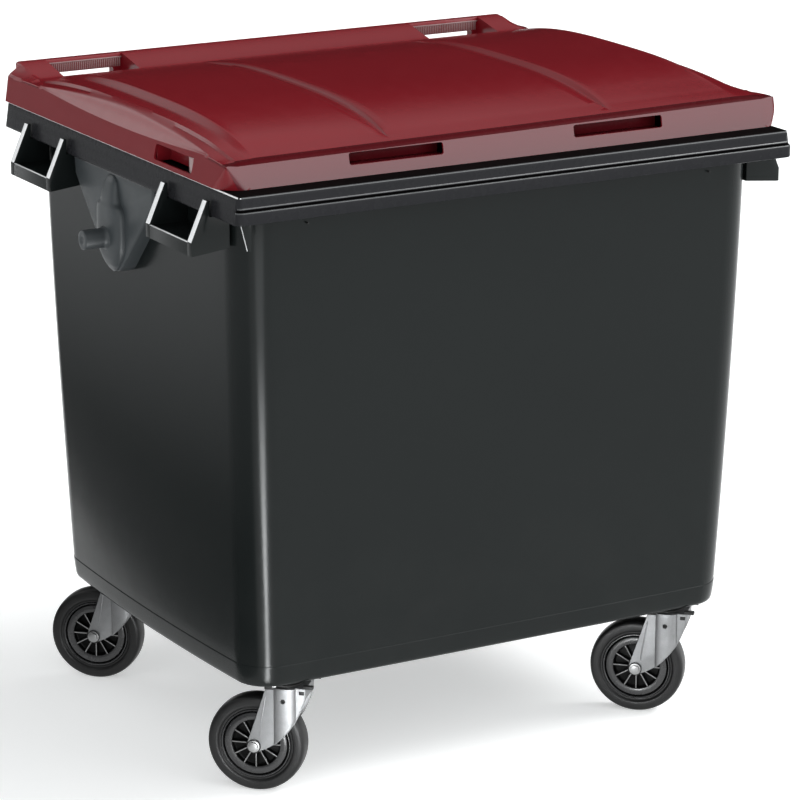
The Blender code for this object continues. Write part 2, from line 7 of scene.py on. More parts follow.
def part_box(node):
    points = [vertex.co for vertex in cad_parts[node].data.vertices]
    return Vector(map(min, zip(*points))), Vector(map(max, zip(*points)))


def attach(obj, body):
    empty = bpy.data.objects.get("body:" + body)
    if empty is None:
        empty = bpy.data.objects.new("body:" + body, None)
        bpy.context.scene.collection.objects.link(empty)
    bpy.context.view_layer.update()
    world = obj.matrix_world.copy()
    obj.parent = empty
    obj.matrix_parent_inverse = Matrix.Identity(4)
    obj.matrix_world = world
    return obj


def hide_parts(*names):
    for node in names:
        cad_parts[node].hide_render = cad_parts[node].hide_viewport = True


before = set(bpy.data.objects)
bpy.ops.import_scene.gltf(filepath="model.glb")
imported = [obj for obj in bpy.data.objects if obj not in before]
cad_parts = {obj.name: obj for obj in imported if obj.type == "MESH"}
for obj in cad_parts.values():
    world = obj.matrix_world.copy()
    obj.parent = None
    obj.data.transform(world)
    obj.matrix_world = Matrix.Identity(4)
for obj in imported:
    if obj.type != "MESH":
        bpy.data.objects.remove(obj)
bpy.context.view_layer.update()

MM = 0.001
lo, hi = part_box("body_shell")
DY = (lo.y + hi.y) / 2 / MM          # the tub's own middle, in millimetres
RIM_TOP = hi.z / MM
FLOOR_Z = lo.z / MM


# =============================================================== materials
def nodes_of(name):
    m = bpy.data.materials.new(name)
    m.use_nodes = True
    nt = m.node_tree
    return m, nt, nt.nodes["Principled BSDF"]


def noise(nt, vec, scale, detail=4.0, rough=0.55, stretch=None):
    if stretch:
        mp = nt.nodes.new("ShaderNodeMapping")
        mp.inputs["Scale"].default_value = stretch
        nt.links.new(vec, mp.inputs["Vector"])
        vec = mp.outputs["Vector"]
    n = nt.nodes.new("ShaderNodeTexNoise")
    n.inputs["Scale"].default_value = scale
    n.inputs["Detail"].default_value = detail
    n.inputs["Roughness"].default_value = rough
    nt.links.new(vec, n.inputs["Vector"])
    return n.outputs["Fac"]


def ramp(nt, fac, lo_, hi_, a=0.0, b=1.0):
    r = nt.nodes.new("ShaderNodeMapRange")
    r.inputs["From Min"].default_value = lo_
    r.inputs["From Max"].default_value = hi_
    r.inputs["To Min"].default_value = a
    r.inputs["To Max"].default_value = b
    r.clamp = True
    nt.links.new(fac, r.inputs["Value"])
    return r.outputs["Result"]


def mix(nt, fac, a, b, blend="MIX"):
    n = nt.nodes.new("ShaderNodeMix")
    n.data_type = "RGBA"
    n.blend_type = blend
    for sock, val in ((n.inputs[0], fac), (n.inputs[6], a), (n.inputs[7], b)):
        if isinstance(val, bpy.types.NodeSocket):
            nt.links.new(val, sock)
        elif isinstance(val, (int, float)):
            sock.default_value = val
        else:
            sock.default_value = (*val, 1.0)
    return n.outputs[2]


def math_node(nt, op, a, b):
    n = nt.nodes.new("ShaderNodeMath")
    n.operation = op
    for sock, val in ((n.inputs[0], a), (n.inputs[1], b)):
        if isinstance(val, bpy.types.NodeSocket):
            nt.links.new(val, sock)
        else:
            sock.default_value = val
    return n.outputs[0]


def bump(nt, height, strength, distance, normal=None):
    b = nt.nodes.new("ShaderNodeBump")
    b.inputs["Strength"].default_value = strength
    b.inputs["Distance"].default_value = distance
    nt.links.new(height, b.inputs["Height"])
    if normal is not None:
        nt.links.new(normal, b.inputs["Normal"])
    return b.outputs["Normal"]


def moulded(name, base, light, rough=(0.30, 0.42), spec=0.5, grain=0.10, wear=0.25, dust=None, sheen=0.0):
    """Moulded polyethylene: eroded-tool grain, slow waves in the panels, scuffs, paler worn edges and a little dust."""
    m, nt, b = nodes_of(name)
    tc = nt.nodes.new("ShaderNodeTexCoord").outputs["Object"]
    cloud = noise(nt, tc, 2.3, 5.0, 0.6)
    mott = noise(nt, tc, 38.0, 6.0, 0.6)
    col = mix(nt, ramp(nt, cloud, 0.30, 0.70, 0.0, 0.55), base, light)
    col = mix(nt, ramp(nt, mott, 0.45, 0.75, 0.0, 0.22), col, light)
    # worn edges from the mesh's own convexity
    geo = nt.nodes.new("ShaderNodeNewGeometry")
    edge = ramp(nt, geo.outputs["Pointiness"], 0.52, 0.60, 0.0, 1.0)
    edge = math_node(nt, "MULTIPLY", edge, ramp(nt, noise(nt, tc, 26.0, 5.0), 0.38, 0.62, 0.35, 1.0))
    worn = tuple(min(1.0, c * 2.0 + 0.02) for c in light)
    col = mix(nt, math_node(nt, "MULTIPLY", edge, wear), col, worn)
    # fine scuffs, mostly level, as from handling and washing
    scuff = noise(nt, tc, 55.0, 3.0, 0.5, stretch=(0.25, 0.25, 3.0))
    scuff = ramp(nt, scuff, 0.62, 0.80, 0.0, 0.035)
    col = mix(nt, scuff, col, worn)
    if dust:
        sep = nt.nodes.new("ShaderNodeSeparateXYZ")
        nt.links.new(tc, sep.inputs[0])
        low = ramp(nt, sep.outputs[2], 0.62, 0.22, 0.0, 1.0)
        d = math_node(nt, "MULTIPLY", low, ramp(nt, noise(nt, tc, 9.0, 6.0, 0.62), 0.42, 0.72, 0.0, 0.05))
        col = mix(nt, d, col, dust)
    nt.links.new(col, b.inputs["Base Color"])
    r = math_node(nt, "ADD", ramp(nt, mott, 0.3, 0.7, rough[0], rough[1]), scuff)
    nt.links.new(r, b.inputs["Roughness"])
    b.inputs["Specular IOR Level"].default_value = spec
    b.inputs["IOR"].default_value = 1.5
    if sheen:
        b.inputs["Sheen Weight"].default_value = sheen
    g = noise(nt, tc, 900.0, 2.0, 0.5)
    w = noise(nt, tc, 5.0, 2.0, 0.45)
    n1 = bump(nt, w, 0.10, 0.006)
    n2 = bump(nt, g, grain, 0.0006, n1)
    nt.links.new(n2, b.inputs["Normal"])
    return m


def zinc(name, base=(0.60, 0.61, 0.62), rough=(0.30, 0.48), dark=0.35):
    """Zinc plated pressing: cloudy plating, rolling grain, dull patches and darker colour in the concave folds."""
    m, nt, b = nodes_of(name)
    tc = nt.nodes.new("ShaderNodeTexCoord").outputs["Object"]
    fine = noise(nt, tc, 420.0, 3.0, 0.6)
    cloud = noise(nt, tc, 34.0, 5.0, 0.6)
    grain = noise(nt, tc, 260.0, 3.0, 0.6, stretch=(1.0, 1.0, 0.12))
    col = mix(nt, ramp(nt, cloud, 0.35, 0.68, 0.0, dark), base, tuple(c * 0.72 for c in base))
    col = mix(nt, ramp(nt, fine, 0.45, 0.7, 0.0, 0.22), col, tuple(min(1, c * 1.28) for c in base))
    geo = nt.nodes.new("ShaderNodeNewGeometry")
    # darker towards the concave folds
    cav = ramp(nt, geo.outputs["Pointiness"], 0.49, 0.42, 0.0, 0.75)
    col = mix(nt, cav, col, (0.12, 0.115, 0.105))
    nt.links.new(col, b.inputs["Base Color"])
    b.inputs["Metallic"].default_value = 1.0
    nt.links.new(ramp(nt, cloud, 0.3, 0.7, rough[0], rough[1]), b.inputs["Roughness"])
    n1 = bump(nt, grain, 0.10, 0.0004)
    n2 = bump(nt, fine, 0.12, 0.0003, n1)
    nt.links.new(n2, b.inputs["Normal"])
    return m


def rubber(name, base=(0.030, 0.030, 0.031), rough=(0.48, 0.66), dusty=0.35):
    """Solid rubber: matt and faintly dusty, with a fine bumpy grain."""
    m, nt, b = nodes_of(name)
    tc = nt.nodes.new("ShaderNodeTexCoord").outputs["Object"]
    cloud = noise(nt, tc, 26.0, 6.0, 0.65)
    fine = noise(nt, tc, 520.0, 3.0, 0.6)
    col = mix(nt, ramp(nt, cloud, 0.40, 0.75, 0.0, dusty), base, (0.105, 0.102, 0.098))
    col = mix(nt, ramp(nt, fine, 0.55, 0.8, 0.0, 0.20), col, (0.05, 0.05, 0.05))
    nt.links.new(col, b.inputs["Base Color"])
    nt.links.new(ramp(nt, cloud, 0.3, 0.7, rough[0], rough[1]), b.inputs["Roughness"])
    b.inputs["Specular IOR Level"].default_value = 0.28
    n1 = bump(nt, fine, 0.20, 0.0005)
    n2 = bump(nt, noise(nt, tc, 90.0, 4.0, 0.6), 0.12, 0.001, n1)
    nt.links.new(n2, b.inputs["Normal"])
    return m


M_BODY = moulded("tub_polyethylene", (0.0064, 0.0082, 0.0082), (0.0080, 0.0100, 0.0099), (0.18, 0.21), 0.155, 0.06, 0.04, dust=(0.060, 0.058, 0.054))
M_TRIM = moulded("bracket_polyethylene", (0.034, 0.0395, 0.0425), (0.041, 0.0470, 0.0505), (0.32, 0.42), 0.26, 0.10, 0.04)
# painted highlight: lighter grey copy of the tub plastic for edge lines that catch the light on the rim and the
# trunnion panels
M_PAINTED_HIGHLIGHT_GREY = moulded("rim_edge_painted_highlight", (0.050, 0.052, 0.054), (0.085, 0.088, 0.090), (0.20, 0.30), 0.4, 0.05, 0.0)
# painted shade: near-black, almost unreflecting copy for the rim's seat under the lid and the groove between the front
# beads
M_SEAT_PAINTED_SHADE = moulded("rim_seat_shadowed", (0.0016, 0.0014, 0.0015), (0.0026, 0.0022, 0.0024), (0.62, 0.75), 0.02, 0.05, 0.0)
# painted highlight: pale, glossy grey standing for the bright reflection that slanted edges of the rim, gusset and
# grips catch
M_PAINTED_HIGHLIGHT_PALE = moulded("edge_painted_highlight", (0.72, 0.73, 0.74), (0.86, 0.87, 0.88), (0.16, 0.26), 0.6, 0.05, 0.0)
M_LID = moulded("lid_polyethylene", (0.176, 0.0066, 0.0118), (0.198, 0.0090, 0.0146), (0.17, 0.23), 0.42, 0.05, 0.06)
# painted shade: darker copy of the lid red for the strip along the front crease and the insides of the front slots
M_LID_PAINTED_SHADE_CREASE = moulded("lid_crease_painted_shade", (0.056, 0.0035, 0.0055), (0.066, 0.0044, 0.0068), (0.24, 0.30), 0.03, 0.05, 0.0)
# painted shade: darker copy of the lid red for the front face
M_LID_PAINTED_SHADE_FRONT = moulded("lid_front_painted_shade", (0.088, 0.0075, 0.0125), (0.100, 0.0095, 0.0150), (0.17, 0.23), 0.46, 0.05, 0.06)
# painted shade: darker copy of the lid red for the skirt and the front corners
M_LID_PAINTED_SHADE_SKIRT = moulded("lid_skirt_painted_shade", (0.138, 0.0075, 0.0115), (0.156, 0.0095, 0.0140), (0.17, 0.23), 0.24, 0.05, 0.06)
# painted shade: duller, less glossy copy of the tub plastic for the rim's outer faces, set to the shade they take
M_RIM_PAINTED_SHADE_FRONT = moulded("rim_front_painted_shade", (0.0135, 0.0138, 0.0155), (0.0160, 0.0163, 0.0182), (0.24, 0.30), 0.07, 0.06, 0.04)
# painted light: pale pink copy of the lid red for the side slots' end walls and the recess fins, standing for the light
# on them
M_LID_PAINTED_LIGHT = moulded("lid_end_wall_painted_light", (0.26, 0.17, 0.17), (0.32, 0.21, 0.21), (0.25, 0.35), 0.5, 0.05, 0.0)
M_ZINC = zinc("zinc_pressing", (0.245, 0.248, 0.252), (0.46, 0.60), 0.40)
M_BOLT = zinc("zinc_fastener", (0.30, 0.30, 0.30), (0.36, 0.50), 0.35)
M_HUB = moulded("hub_polypropylene", (0.0012, 0.0012, 0.0012), (0.0024, 0.0024, 0.0025), (0.40, 0.50), 0.12, 0.10, 0.0)
M_HUBRIM = moulded("hub_rim_polypropylene", (0.020, 0.020, 0.021), (0.032, 0.032, 0.033), (0.22, 0.32), 0.55, 0.10, 0.20)
M_RIB = moulded("hub_ribs", (0.12, 0.12, 0.12), (0.18, 0.18, 0.18), (0.25, 0.35), 0.5, 0.08, 0.3)
M_TYRE = rubber("tyre_rubber", (0.0080, 0.0080, 0.0083), (0.34, 0.46), 0.05)
# black rubber for the castor seals, also used as painted shade for the vent studs and the fork's dark plugs
M_SEAL_AND_PAINTED_SHADE = rubber("seal_rubber_and_painted_shade", (0.008, 0.008, 0.008), (0.5, 0.6), 0.1)


# ================================================================= helpers
def finish(ob, body, mats, replaces=(), angle=32.0):
    ob.data.materials.clear()
    for m in mats:
        ob.data.materials.append(m)
    if angle is not None:
        ob.data.shade_smooth()
        ob.data.set_sharp_from_angle(angle=math.radians(angle))
    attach(ob, body)
    if replaces:
        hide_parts(*replaces)
    return ob


def obj_from(name, bm, shift=True):
    """Object from a bmesh in the tub's millimetres; shift puts it in the row frame."""
    for v in bm.verts:
        v.co = Vector((v.co.x * MM, (v.co.y + (DY if shift else 0.0)) * MM, v.co.z * MM))
    me = bpy.data.meshes.new(name)
    bm.to_mesh(me)
    bm.free()
    ob = bpy.data.objects.new(name, me)
    bpy.context.scene.collection.objects.link(ob)
    return ob


def bake(ob):
    dg = bpy.context.evaluated_depsgraph_get()
    dg.update()
    me = bpy.data.meshes.new_from_object(ob.evaluated_get(dg))
    old = ob.data
    ob.modifiers.clear()
    ob.data = me
    bpy.data.meshes.remove(old)
    return ob


def boolean(ob, tool_ob, op="DIFFERENCE", drop=True, solver="EXACT"):
    m = ob.modifiers.new("cut", "BOOLEAN")
    m.operation = op
    m.object = tool_ob
    m.solver = solver
    bake(ob)
    if drop:
        bpy.data.objects.remove(tool_ob, do_unlink=True)
    return ob


def join(obs):
    """Join several objects' meshes into the first, keeping each one's material slots."""
    base = obs[0]
    for o in obs:
        o.data.transform(o.matrix_world)
        o.matrix_world = Matrix.Identity(4)
    with bpy.context.temp_override(active_object=base, selected_editable_objects=obs, object=base, selected_objects=obs):
        bpy.ops.object.join()
    return base


def circle(cx, cy, r, a0, a1, n):
    return [(cx + r * math.cos(math.radians(a0 + (a1 - a0) * i / n)),
             cy + r * math.sin(math.radians(a0 + (a1 - a0) * i / n))) for i in range(n + 1)]


def loft(rings, bm=None, closed=True, cap0=False, cap1=False):
    bm = bm or bmesh.new()
    loops = [[bm.verts.new(p) for p in ring] for ring in rings]
    for a, b in zip(loops, loops[1:]):
        n = len(a)
        for i in range(n if closed else n - 1):
            bm.faces.new((a[i], a[(i + 1) % n], b[(i + 1) % n], b[i]))
    if cap0:
        bm.faces.new(list(reversed(loops[0])))
    if cap1:
        bm.faces.new(loops[-1])
    return bm


def rbox(x0, x1, y0, y1, z0, z1, r=2.0, seg=3):
    """Box with rounded edges."""
    bm = bmesh.new()
    m = Matrix.Translation(((x0 + x1) / 2, (y0 + y1) / 2, (z0 + z1) / 2)) @ Matrix.Diagonal((x1 - x0, y1 - y0, z1 - z0, 1))
    bmesh.ops.create_cube(bm, size=1.0, matrix=m)
    if r > 0:
        bmesh.ops.bevel(bm, geom=list(bm.edges), offset=r, segments=seg, profile=0.5, affect="EDGES")
    return bm


def prism(pts, a, b, axis="X", r=0.0, seg=2):
    """Outline extruded from a to b with rounded edges. X: (y, z), Y: (x, z), Z: (x, y)."""
    def place(p, w):
        return {"X": (w, p[0], p[1]), "Y": (p[0], w, p[1]), "Z": (p[0], p[1], w)}[axis]
    bm = bmesh.new()
    lo_ = [bm.verts.new(place(p, a)) for p in pts]
    hi_ = [bm.verts.new(place(p, b)) for p in pts]
    n = len(pts)
    for i in range(n):
        bm.faces.new((lo_[i], lo_[(i + 1) % n], hi_[(i + 1) % n], hi_[i]))
    c0, c1 = bm.faces.new(list(reversed(lo_))), bm.faces.new(hi_)
    bmesh.ops.recalc_face_normals(bm, faces=bm.faces)
    if r > 0:
        edges = set(c0.edges) | set(c1.edges)
        bmesh.ops.bevel(bm, geom=list(edges), offset=r, segments=seg, profile=0.5, affect="EDGES")
    return bm


def turn(profile, axis="Z", seg=64, at=(0, 0, 0)):
    """Closed turned solid from (radius, height) points; a radius of 0 at an end closes it on the axis."""
    bm = bmesh.new()
    rings = []
    for r, h in profile:
        if r < 1e-6:
            rings.append([bm.verts.new((0, 0, h))])
        else:
            rings.append([bm.verts.new((r * math.cos(2 * math.pi * i / seg), r * math.sin(2 * math.pi * i / seg), h)) for i in range(seg)])
    pairs = list(zip(rings, rings[1:]))
    if len(rings[0]) > 1 and len(rings[-1]) > 1:
        pairs.append((rings[-1], rings[0]))
    for a, b in pairs:
        for i in range(seg):
            j = (i + 1) % seg
            if len(a) == 1 and len(b) == 1:
                continue
            if len(a) == 1:
                bm.faces.new((a[0], b[j], b[i]))
            elif len(b) == 1:
                bm.faces.new((a[i], a[j], b[0]))
            else:
                bm.faces.new((a[i], a[j], b[j], b[i]))
    bmesh.ops.recalc_face_normals(bm, faces=bm.faces)
    rot = {"Z": Matrix.Identity(4), "X": Matrix.Rotation(math.pi / 2, 4, "Y"), "Y": Matrix.Rotation(-math.pi / 2, 4, "X")}[axis]
    bmesh.ops.transform(bm, matrix=Matrix.Translation(at) @ rot, verts=bm.verts)
    return bm


def merge(bms):
    """One bmesh from several."""
    out = bmesh.new()
    for b in bms:
        me = bpy.data.meshes.new("tmp")
        b.to_mesh(me)
        b.free()
        out.from_mesh(me)
        bpy.data.meshes.remove(me)
    return out


def smooth(t):
    t = max(0.0, min(1.0, t))
    return t * t * (3 - 2 * t)


# ===================================================================== tub
NC, NS = 16, 24
HW0, HW1, YF0, YF1, YR0, YR1, RC = 560.5, 590.0, -437.5, -466.0, 430.5, 465.0, 74.0
Z0, Z1 = FLOOR_Z, 1240.0
RIM_HW, RIM_HD, RIM_R = 631.0, 529.0, 16.0


def rounded(hw, yf, yr, r, bow=0.0, rbow=0.0):
    """Points and outward normals round a rounded rectangle with bowed sides."""
    corners = [(hw - r, yf + r, -90), (hw - r, yr - r, 0), (-hw + r, yr - r, 90), (-hw + r, yf + r, 180)]
    pts = []
    for k, (cx, cy, a0) in enumerate(corners):
        for i in range(NC + 1):
            a = math.radians(a0 + 90 * i / NC)
            pts.append((cx + r * math.cos(a), cy + r * math.sin(a), math.cos(a), math.sin(a)))
        nx, ny, _ = corners[(k + 1) % 4]
        na = math.radians(a0 + 90)
        a, b = pts[-1][:2], (nx + r * math.cos(na), ny + r * math.sin(na))
        for i in range(1, NS):
            t = i / NS
            off = (bow if k in (0, 2) else rbow) * 4 * t * (1 - t)
            pts.append((a[0] + (b[0] - a[0]) * t + math.cos(na) * off, a[1] + (b[1] - a[1]) * t + math.sin(na) * off,
                        math.cos(na), math.sin(na)))
    return pts


def wall(z, d=0.0, zo=None):
    t = max(0.0, (Z1 - z) / (Z1 - Z0))
    u, w = 1 - t ** 1.5, 1 - t ** 1.3
    pts = rounded(HW0 + (HW1 - HW0) * u - d, YF0 + (YF1 - YF0) * w + d, YR0 + (YR1 - YR0) * w - d, RC - min(d, 40), 11 - 8 * u, 2.0)
    return [Vector((x, y, z if zo is None else zo)) for x, y, _, _ in pts]


RIM0 = rounded(RIM_HW, -RIM_HD, RIM_HD, RIM_R)


def rim(ds, zs, df=None, zf=None):
    """Ring of the rim, d inside its outer edge; the front takes its own profile."""
    df, zf = ds if df is None else df, zs if zf is None else zf
    out = []
    for x, y, nx, ny in RIM0:
        w = smooth((-ny - 0.18) / 0.34)
        d, z = ds + (df - ds) * w, zs + (zf - zs) * w
        rr = min(d, RIM_R - 1.0)
        cx = max(-(RIM_HW - RIM_R), min(RIM_HW - RIM_R, x))
        cy = max(-(RIM_HD - RIM_R), min(RIM_HD - RIM_R, y))
        if abs(nx) > 1e-6 and abs(ny) > 1e-6:      # corner arc: shrink its radius, then step in
            q = d - rr
            out.append(Vector((cx + nx * (RIM_R - rr) - math.copysign(q, nx), cy + ny * (RIM_R - rr) - math.copysign(q, ny), z)))
        else:
            out.append(Vector((x - (math.copysign(d, nx) if abs(nx) > 0.5 else 0.0), y - (math.copysign(d, ny) if abs(ny) > 0.5 else 0.0), z)))
    return out


T = RIM_TOP
rings = []
for d, z in ((60, Z0 + 7), (34, Z0 + 6.5), (30, Z0 + 1.0), (26, Z0), (12, Z0), (8.0, Z0 + 0.5), (4.8, Z0 + 2.2), (2.6, Z0 + 5.5), (1.4, Z0 + 11), (0.3, Z0 + 24),
             (-0.7, Z0 + 42.5), (-0.7, Z0 + 43.6), (-0.3, Z0 + 44.6), (0.3, Z0 + 45.0), (0.3, Z0 + 46.2)):
    rings.append(wall(z, d))
zs = [Z0 + 52, Z0 + 70] + [330 + 38 * i for i in range(24)] + [1222.0, 1232.0]
rings += [wall(z) for z in zs if z < 1236]
rings += [wall(1240.0), wall(1245.0, -0.8), wall(1249.0, -3.0), wall(1251.6, -6.5), wall(1252.5, -11.0)]
rings += [rim(16.0, 1252.5), rim(9.0, 1251.5, 13.0, 1251.5), rim(6.5, 1248.0, 12.2, 1248.0), rim(5.9, 1229.0, 12.0, 1227.5), rim(5.5, 1222.0, 4.6, 1224.5), rim(5.2, 1209.0), rim(4.6, 1207.0), rim(3.4, 1206.0), rim(1.8, 1206.0), rim(0.7, 1206.6), rim(0.15, 1208.0)]
# outer face: leans in on the sides; at the front it has a groove between two beads
for ds, zsd, df, zf in ((0.4, 1211.0, 0.0, 1210.0), (1.2, 1216.0, 0.0, 1218.0), (2.0, 1222.0, 0.0, 1226.5), (2.6, 1227.0, 0.25, 1228.8), (2.9, 1229.5, 1.1, 1230.2),
                        (3.2, 1231.5, 2.4, 1230.8), (3.4, 1233.0, 7.0, 1231.0), (3.7, 1235.0, 9.2, 1231.3), (3.9, 1236.5, 9.8, 1232.2), (4.1, 1238.0, 9.8, 1233.6),
                        (4.3, 1239.5, 9.2, 1234.4), (4.5, 1241.0, 6.6, 1234.8), (4.7, 1242.5, 5.2, 1235.2), (4.9, 1244.0, 4.9, 1236.3), (5.1, 1246.0, 5.5, 1237.4),
                        (5.4, 1248.0, 6.6, 1238.4), (5.8, 1251.0, 6.9, 1242.0), (6.3, 1254.5, 7.0, 1252.0), (6.8, T - 2.2, 7.1, T - 2.4), (7.5, T - 0.8, 7.7, T - 0.8), (9.0, T, 9.2, T), (12.0, T, 12.0, T)):
    rings.append(rim(ds, zsd, df, zf))
rings += [wall(Z1, -10.0, T), wall(Z1, 2.0, T), wall(Z1, 4.4, T - 0.8), wall(Z1, 5.6, T - 3.0), wall(Z1, 6.0, T - 8.0)]
rings += [wall(z, 6.0) for z in reversed([330 + 38 * i for i in range(24)])]
rings += [wall(300.0, 6.5), wall(280.0, 9.0), wall(266.0, 15.0), wall(257.0, 25.0), wall(253.0, 38.0), wall(252.0, 55.0)]
bm = loft(rings, cap0=True, cap1=True)
bmesh.ops.recalc_face_normals(bm, faces=bm.faces)
tub = obj_from("tub", bm)

# stiffening ribs under the floor, all part of the tub
extra = []
for x in (-300, -150, 0, 150, 300):
    if x != 0:
        extra.append(rbox(x - 3, x + 3, -390, 385, Z0 + 0.6, Z0 + 8, 1.0, 2))
for y in (-230, -80, 80, 230):
    extra.append(rbox(-515, 515, y - 3, y + 3, Z0 + 0.8, Z0 + 8, 1.0, 2))
ribs = obj_from("tub_ribs", merge(extra))

# two small drilled vents under the front lip, built as shallow black studs: painted shade standing for the dark inside
# the holes
for x in (-450.0, 467.0):
    extra = turn([(0, -6.0), (1.8, -6.0), (1.8, 0.0), (1.2, 0.5), (0, 0.5)], "Y", 20, (x, -466.9, 1182.0))
    vent = obj_from("vent_left" if x < 0 else "vent_right", extra)
    finish(vent, "body", [M_SEAL_AND_PAINTED_SHADE], (), 40)

# triangular gusset at the front left corner of the rim
gus = prism([(-597.5, 1152.0), (-590.0, 1150.0), (-590.0, 1207.0), (-613.0, 1207.0), (-610.5, 1201.0)], -508.0, -503.0, "Y", 0.8)
gus = obj_from("gusset", gus)
for ob in (tub, ribs, gus):
    ob.data.shade_smooth()
tub = join([tub, ribs, gus])
finish(tub, "body", [M_BODY, M_PAINTED_HIGHLIGHT_PALE, M_PAINTED_HIGHLIGHT_GREY, M_SEAT_PAINTED_SHADE, M_RIM_PAINTED_SHADE_FRONT], ["body_shell"], 34)
# rim, bead and gusset faces get lit and shaded copies of the tub plastic, as painted highlight and painted shade
for p in tub.data.polygons:
    c, n = p.center / MM, p.normal
    c.y -= DY
    out = max(abs(c.x) - RIM_HW, abs(c.y) - RIM_HD)
    # painted highlight along the rim's top outer edge: pale on the sides, lighter grey at the front
    if T - 2.0 < c.z < T - 0.1 and out > -9.0 and n.z > 0.25:
        p.material_index = 1 if abs(n.x) > 0.25 else 2
    # painted shade in the groove between the front beads
    elif c.y < -505 and 1230.5 < c.z < 1235.4 and out < (-3.2 if n.z > 0.35 else -5.3):
        p.material_index = 3
    # painted highlight on the upward faces of the front beads
    elif c.y < -505 and n.z > 0.35 and 1228.0 < c.z < 1239.5:
        p.material_index = 2
    # painted shade on the rim's seat under the lid
    elif c.z > T - 0.6 and n.z > 0.8 and out < -8.5:
        p.material_index = 3
    # painted highlight on the gusset's slanted edge
    elif c.y < -495 and c.x < -596 and c.z < 1199 and abs(n.x) > 0.6 and abs(n.y) < 0.3:
        p.material_index = 1
    # painted shade on the rim's front faces
    elif c.y < -505 and out > -12.5 and n.y < -0.6 and 1206.0 < c.z < T - 0.1:
        p.material_index = 4
    # painted shade on the rim's side faces
    elif abs(c.x) > 610 and out > -12.5 and abs(n.x) > 0.7 and n.x * c.x > 0 and 1206.0 < c.z < T - 0.1:
        p.material_index = 4


# ===================================================================== lid
LZ = 1259.5                                   # lower edge of the skirt
HINGE_Y, HINGE_Z, HINGE_X = 605.0, 1285.0, 200.0


def arch(y):
    a = max(0.0, 1 - abs((y + 5) / 445.0) ** 3)
    if y < -398.0:                             # steady slope, then the roll-off along the front edge
        a = max(a, 0.310 - (-398.0 - y) * 0.0044)
    if y < -439.0:
        a = 0.1296 * (1 - ((-439.0 - y) / 20.0) ** 1.25)
    return a


def lerp(table, x):
    for (x0, k0), (x1, k1) in zip(table, table[1:]):
        if x <= x1:
            return k0 + (k1 - k0) * (x - x0) / (x1 - x0)
    return table[-1][1]


# rise of the arch outside the roof: crest, step down, side panel
STEP = [(533, 48.0), (538, 48.25), (542, 48.7), (545, 48.9), (546.6, 48.85), (548, 48.2), (549.6, 46.8), (552, 44.4), (555, 41.4), (558, 38.4), (560, 36.6),
        (561.6, 35.4), (563.4, 34.5), (566, 33.8), (572, 32.8), (580, 31.4), (588, 30.0)]


def groove(t):
    a = smooth(t / 0.30)
    b = smooth((1 - t) / 0.42)
    return a * b


def profile(y):
    """Half of the lid's section at y, from the middle outwards."""
    a = arch(y)
    rear = max(0.0, min(1.0, (y - 425.0) / 118.0))
    rise = 23.0 * (rear * rear * (3 - 2 * rear) * 0.35 + rear * 0.65)
    zr = 1312.0 + 48.0 * a
    w = max(2.0, 53.0 * (1 - min(1.0, abs((y + 5) / 424.0)) ** 3.7))
    d = 9.0 * max(0.0, (w - 2.0) / 51.0) ** 0.7
    c = 252.5 - 2.0 * (1 - a)
    pts = []
    for i in range(13):
        pts.append(((c - w / 2) * i / 13, zr + rise))
    for i in range(13):
        t = i / 12
        pts.append((c + (t - 0.5) * w, zr + rise - d * groove(t)))
    for i in range(1, 20):
        t = i / 20
        pts.append((c + w / 2 + (533 - c - w / 2) * t, zr + rise))
    fade = smooth((y + 452.0) / 70.0) * smooth((448.0 - y) / 60.0)
    for x, k in STEP:
        flat = 48.0 + (34.0 - 48.0) * smooth((x - 533.0) / 55.0)
        kk = k * fade + flat * (1 - fade)
        pts.append((x, 1312.0 + a * kk + rise))
    zl = min(1302.0 + 16.0 * ((y + 5) / 430.0) ** 2, 1313.0 - 1.5 * smooth((abs(y) - 400) / 60))
    if y > 400:
        zl = 1313.0 - 2.5 * smooth((y - 400) / 120)
    zt = 1310.0 + 27.5 * (1 - min(1.1, abs((y + 5) / 440.0)) ** 1.6)
    h = max(0.0, zt - zl)
    xs = 628.0 - (zl - 1261.0) * 10.0 / 45.0
    xt = xs - max(5.0, 21.0 * (h / 35.0) ** 0.8)
    zt = zl + h
    z588 = pts[-1][1]
    zin = z588 * 0.35 + max(zt, zl + 0.3) * 0.65 if y < 430 else zl + 4 + rise * 0.62
    pts.append((min(592.5, xt - 2.5), zin + 0.6 * min(1, h / 10)))
    zt2 = zt if y < 430 else zl + 0.5 + rise * 0.22
    pts.append((xt - 0.6, max(zl, zt2 + 0.25 * min(1, h / 10))))
    for u, v in ((0.06, 0.955), (0.13, 0.90), (0.20, 0.835), (0.275, 0.74), (0.36, 0.625), (0.50, 0.45), (0.66, 0.295), (0.82, 0.15), (0.93, 0.055)):
        pts.append((xt + (xs - xt) * u, zl + (zt2 - zl) * v))
    pts.append((xs - 0.5, zl + 0.35))
    pts.append((xs, zl - 0.4))
    return pts


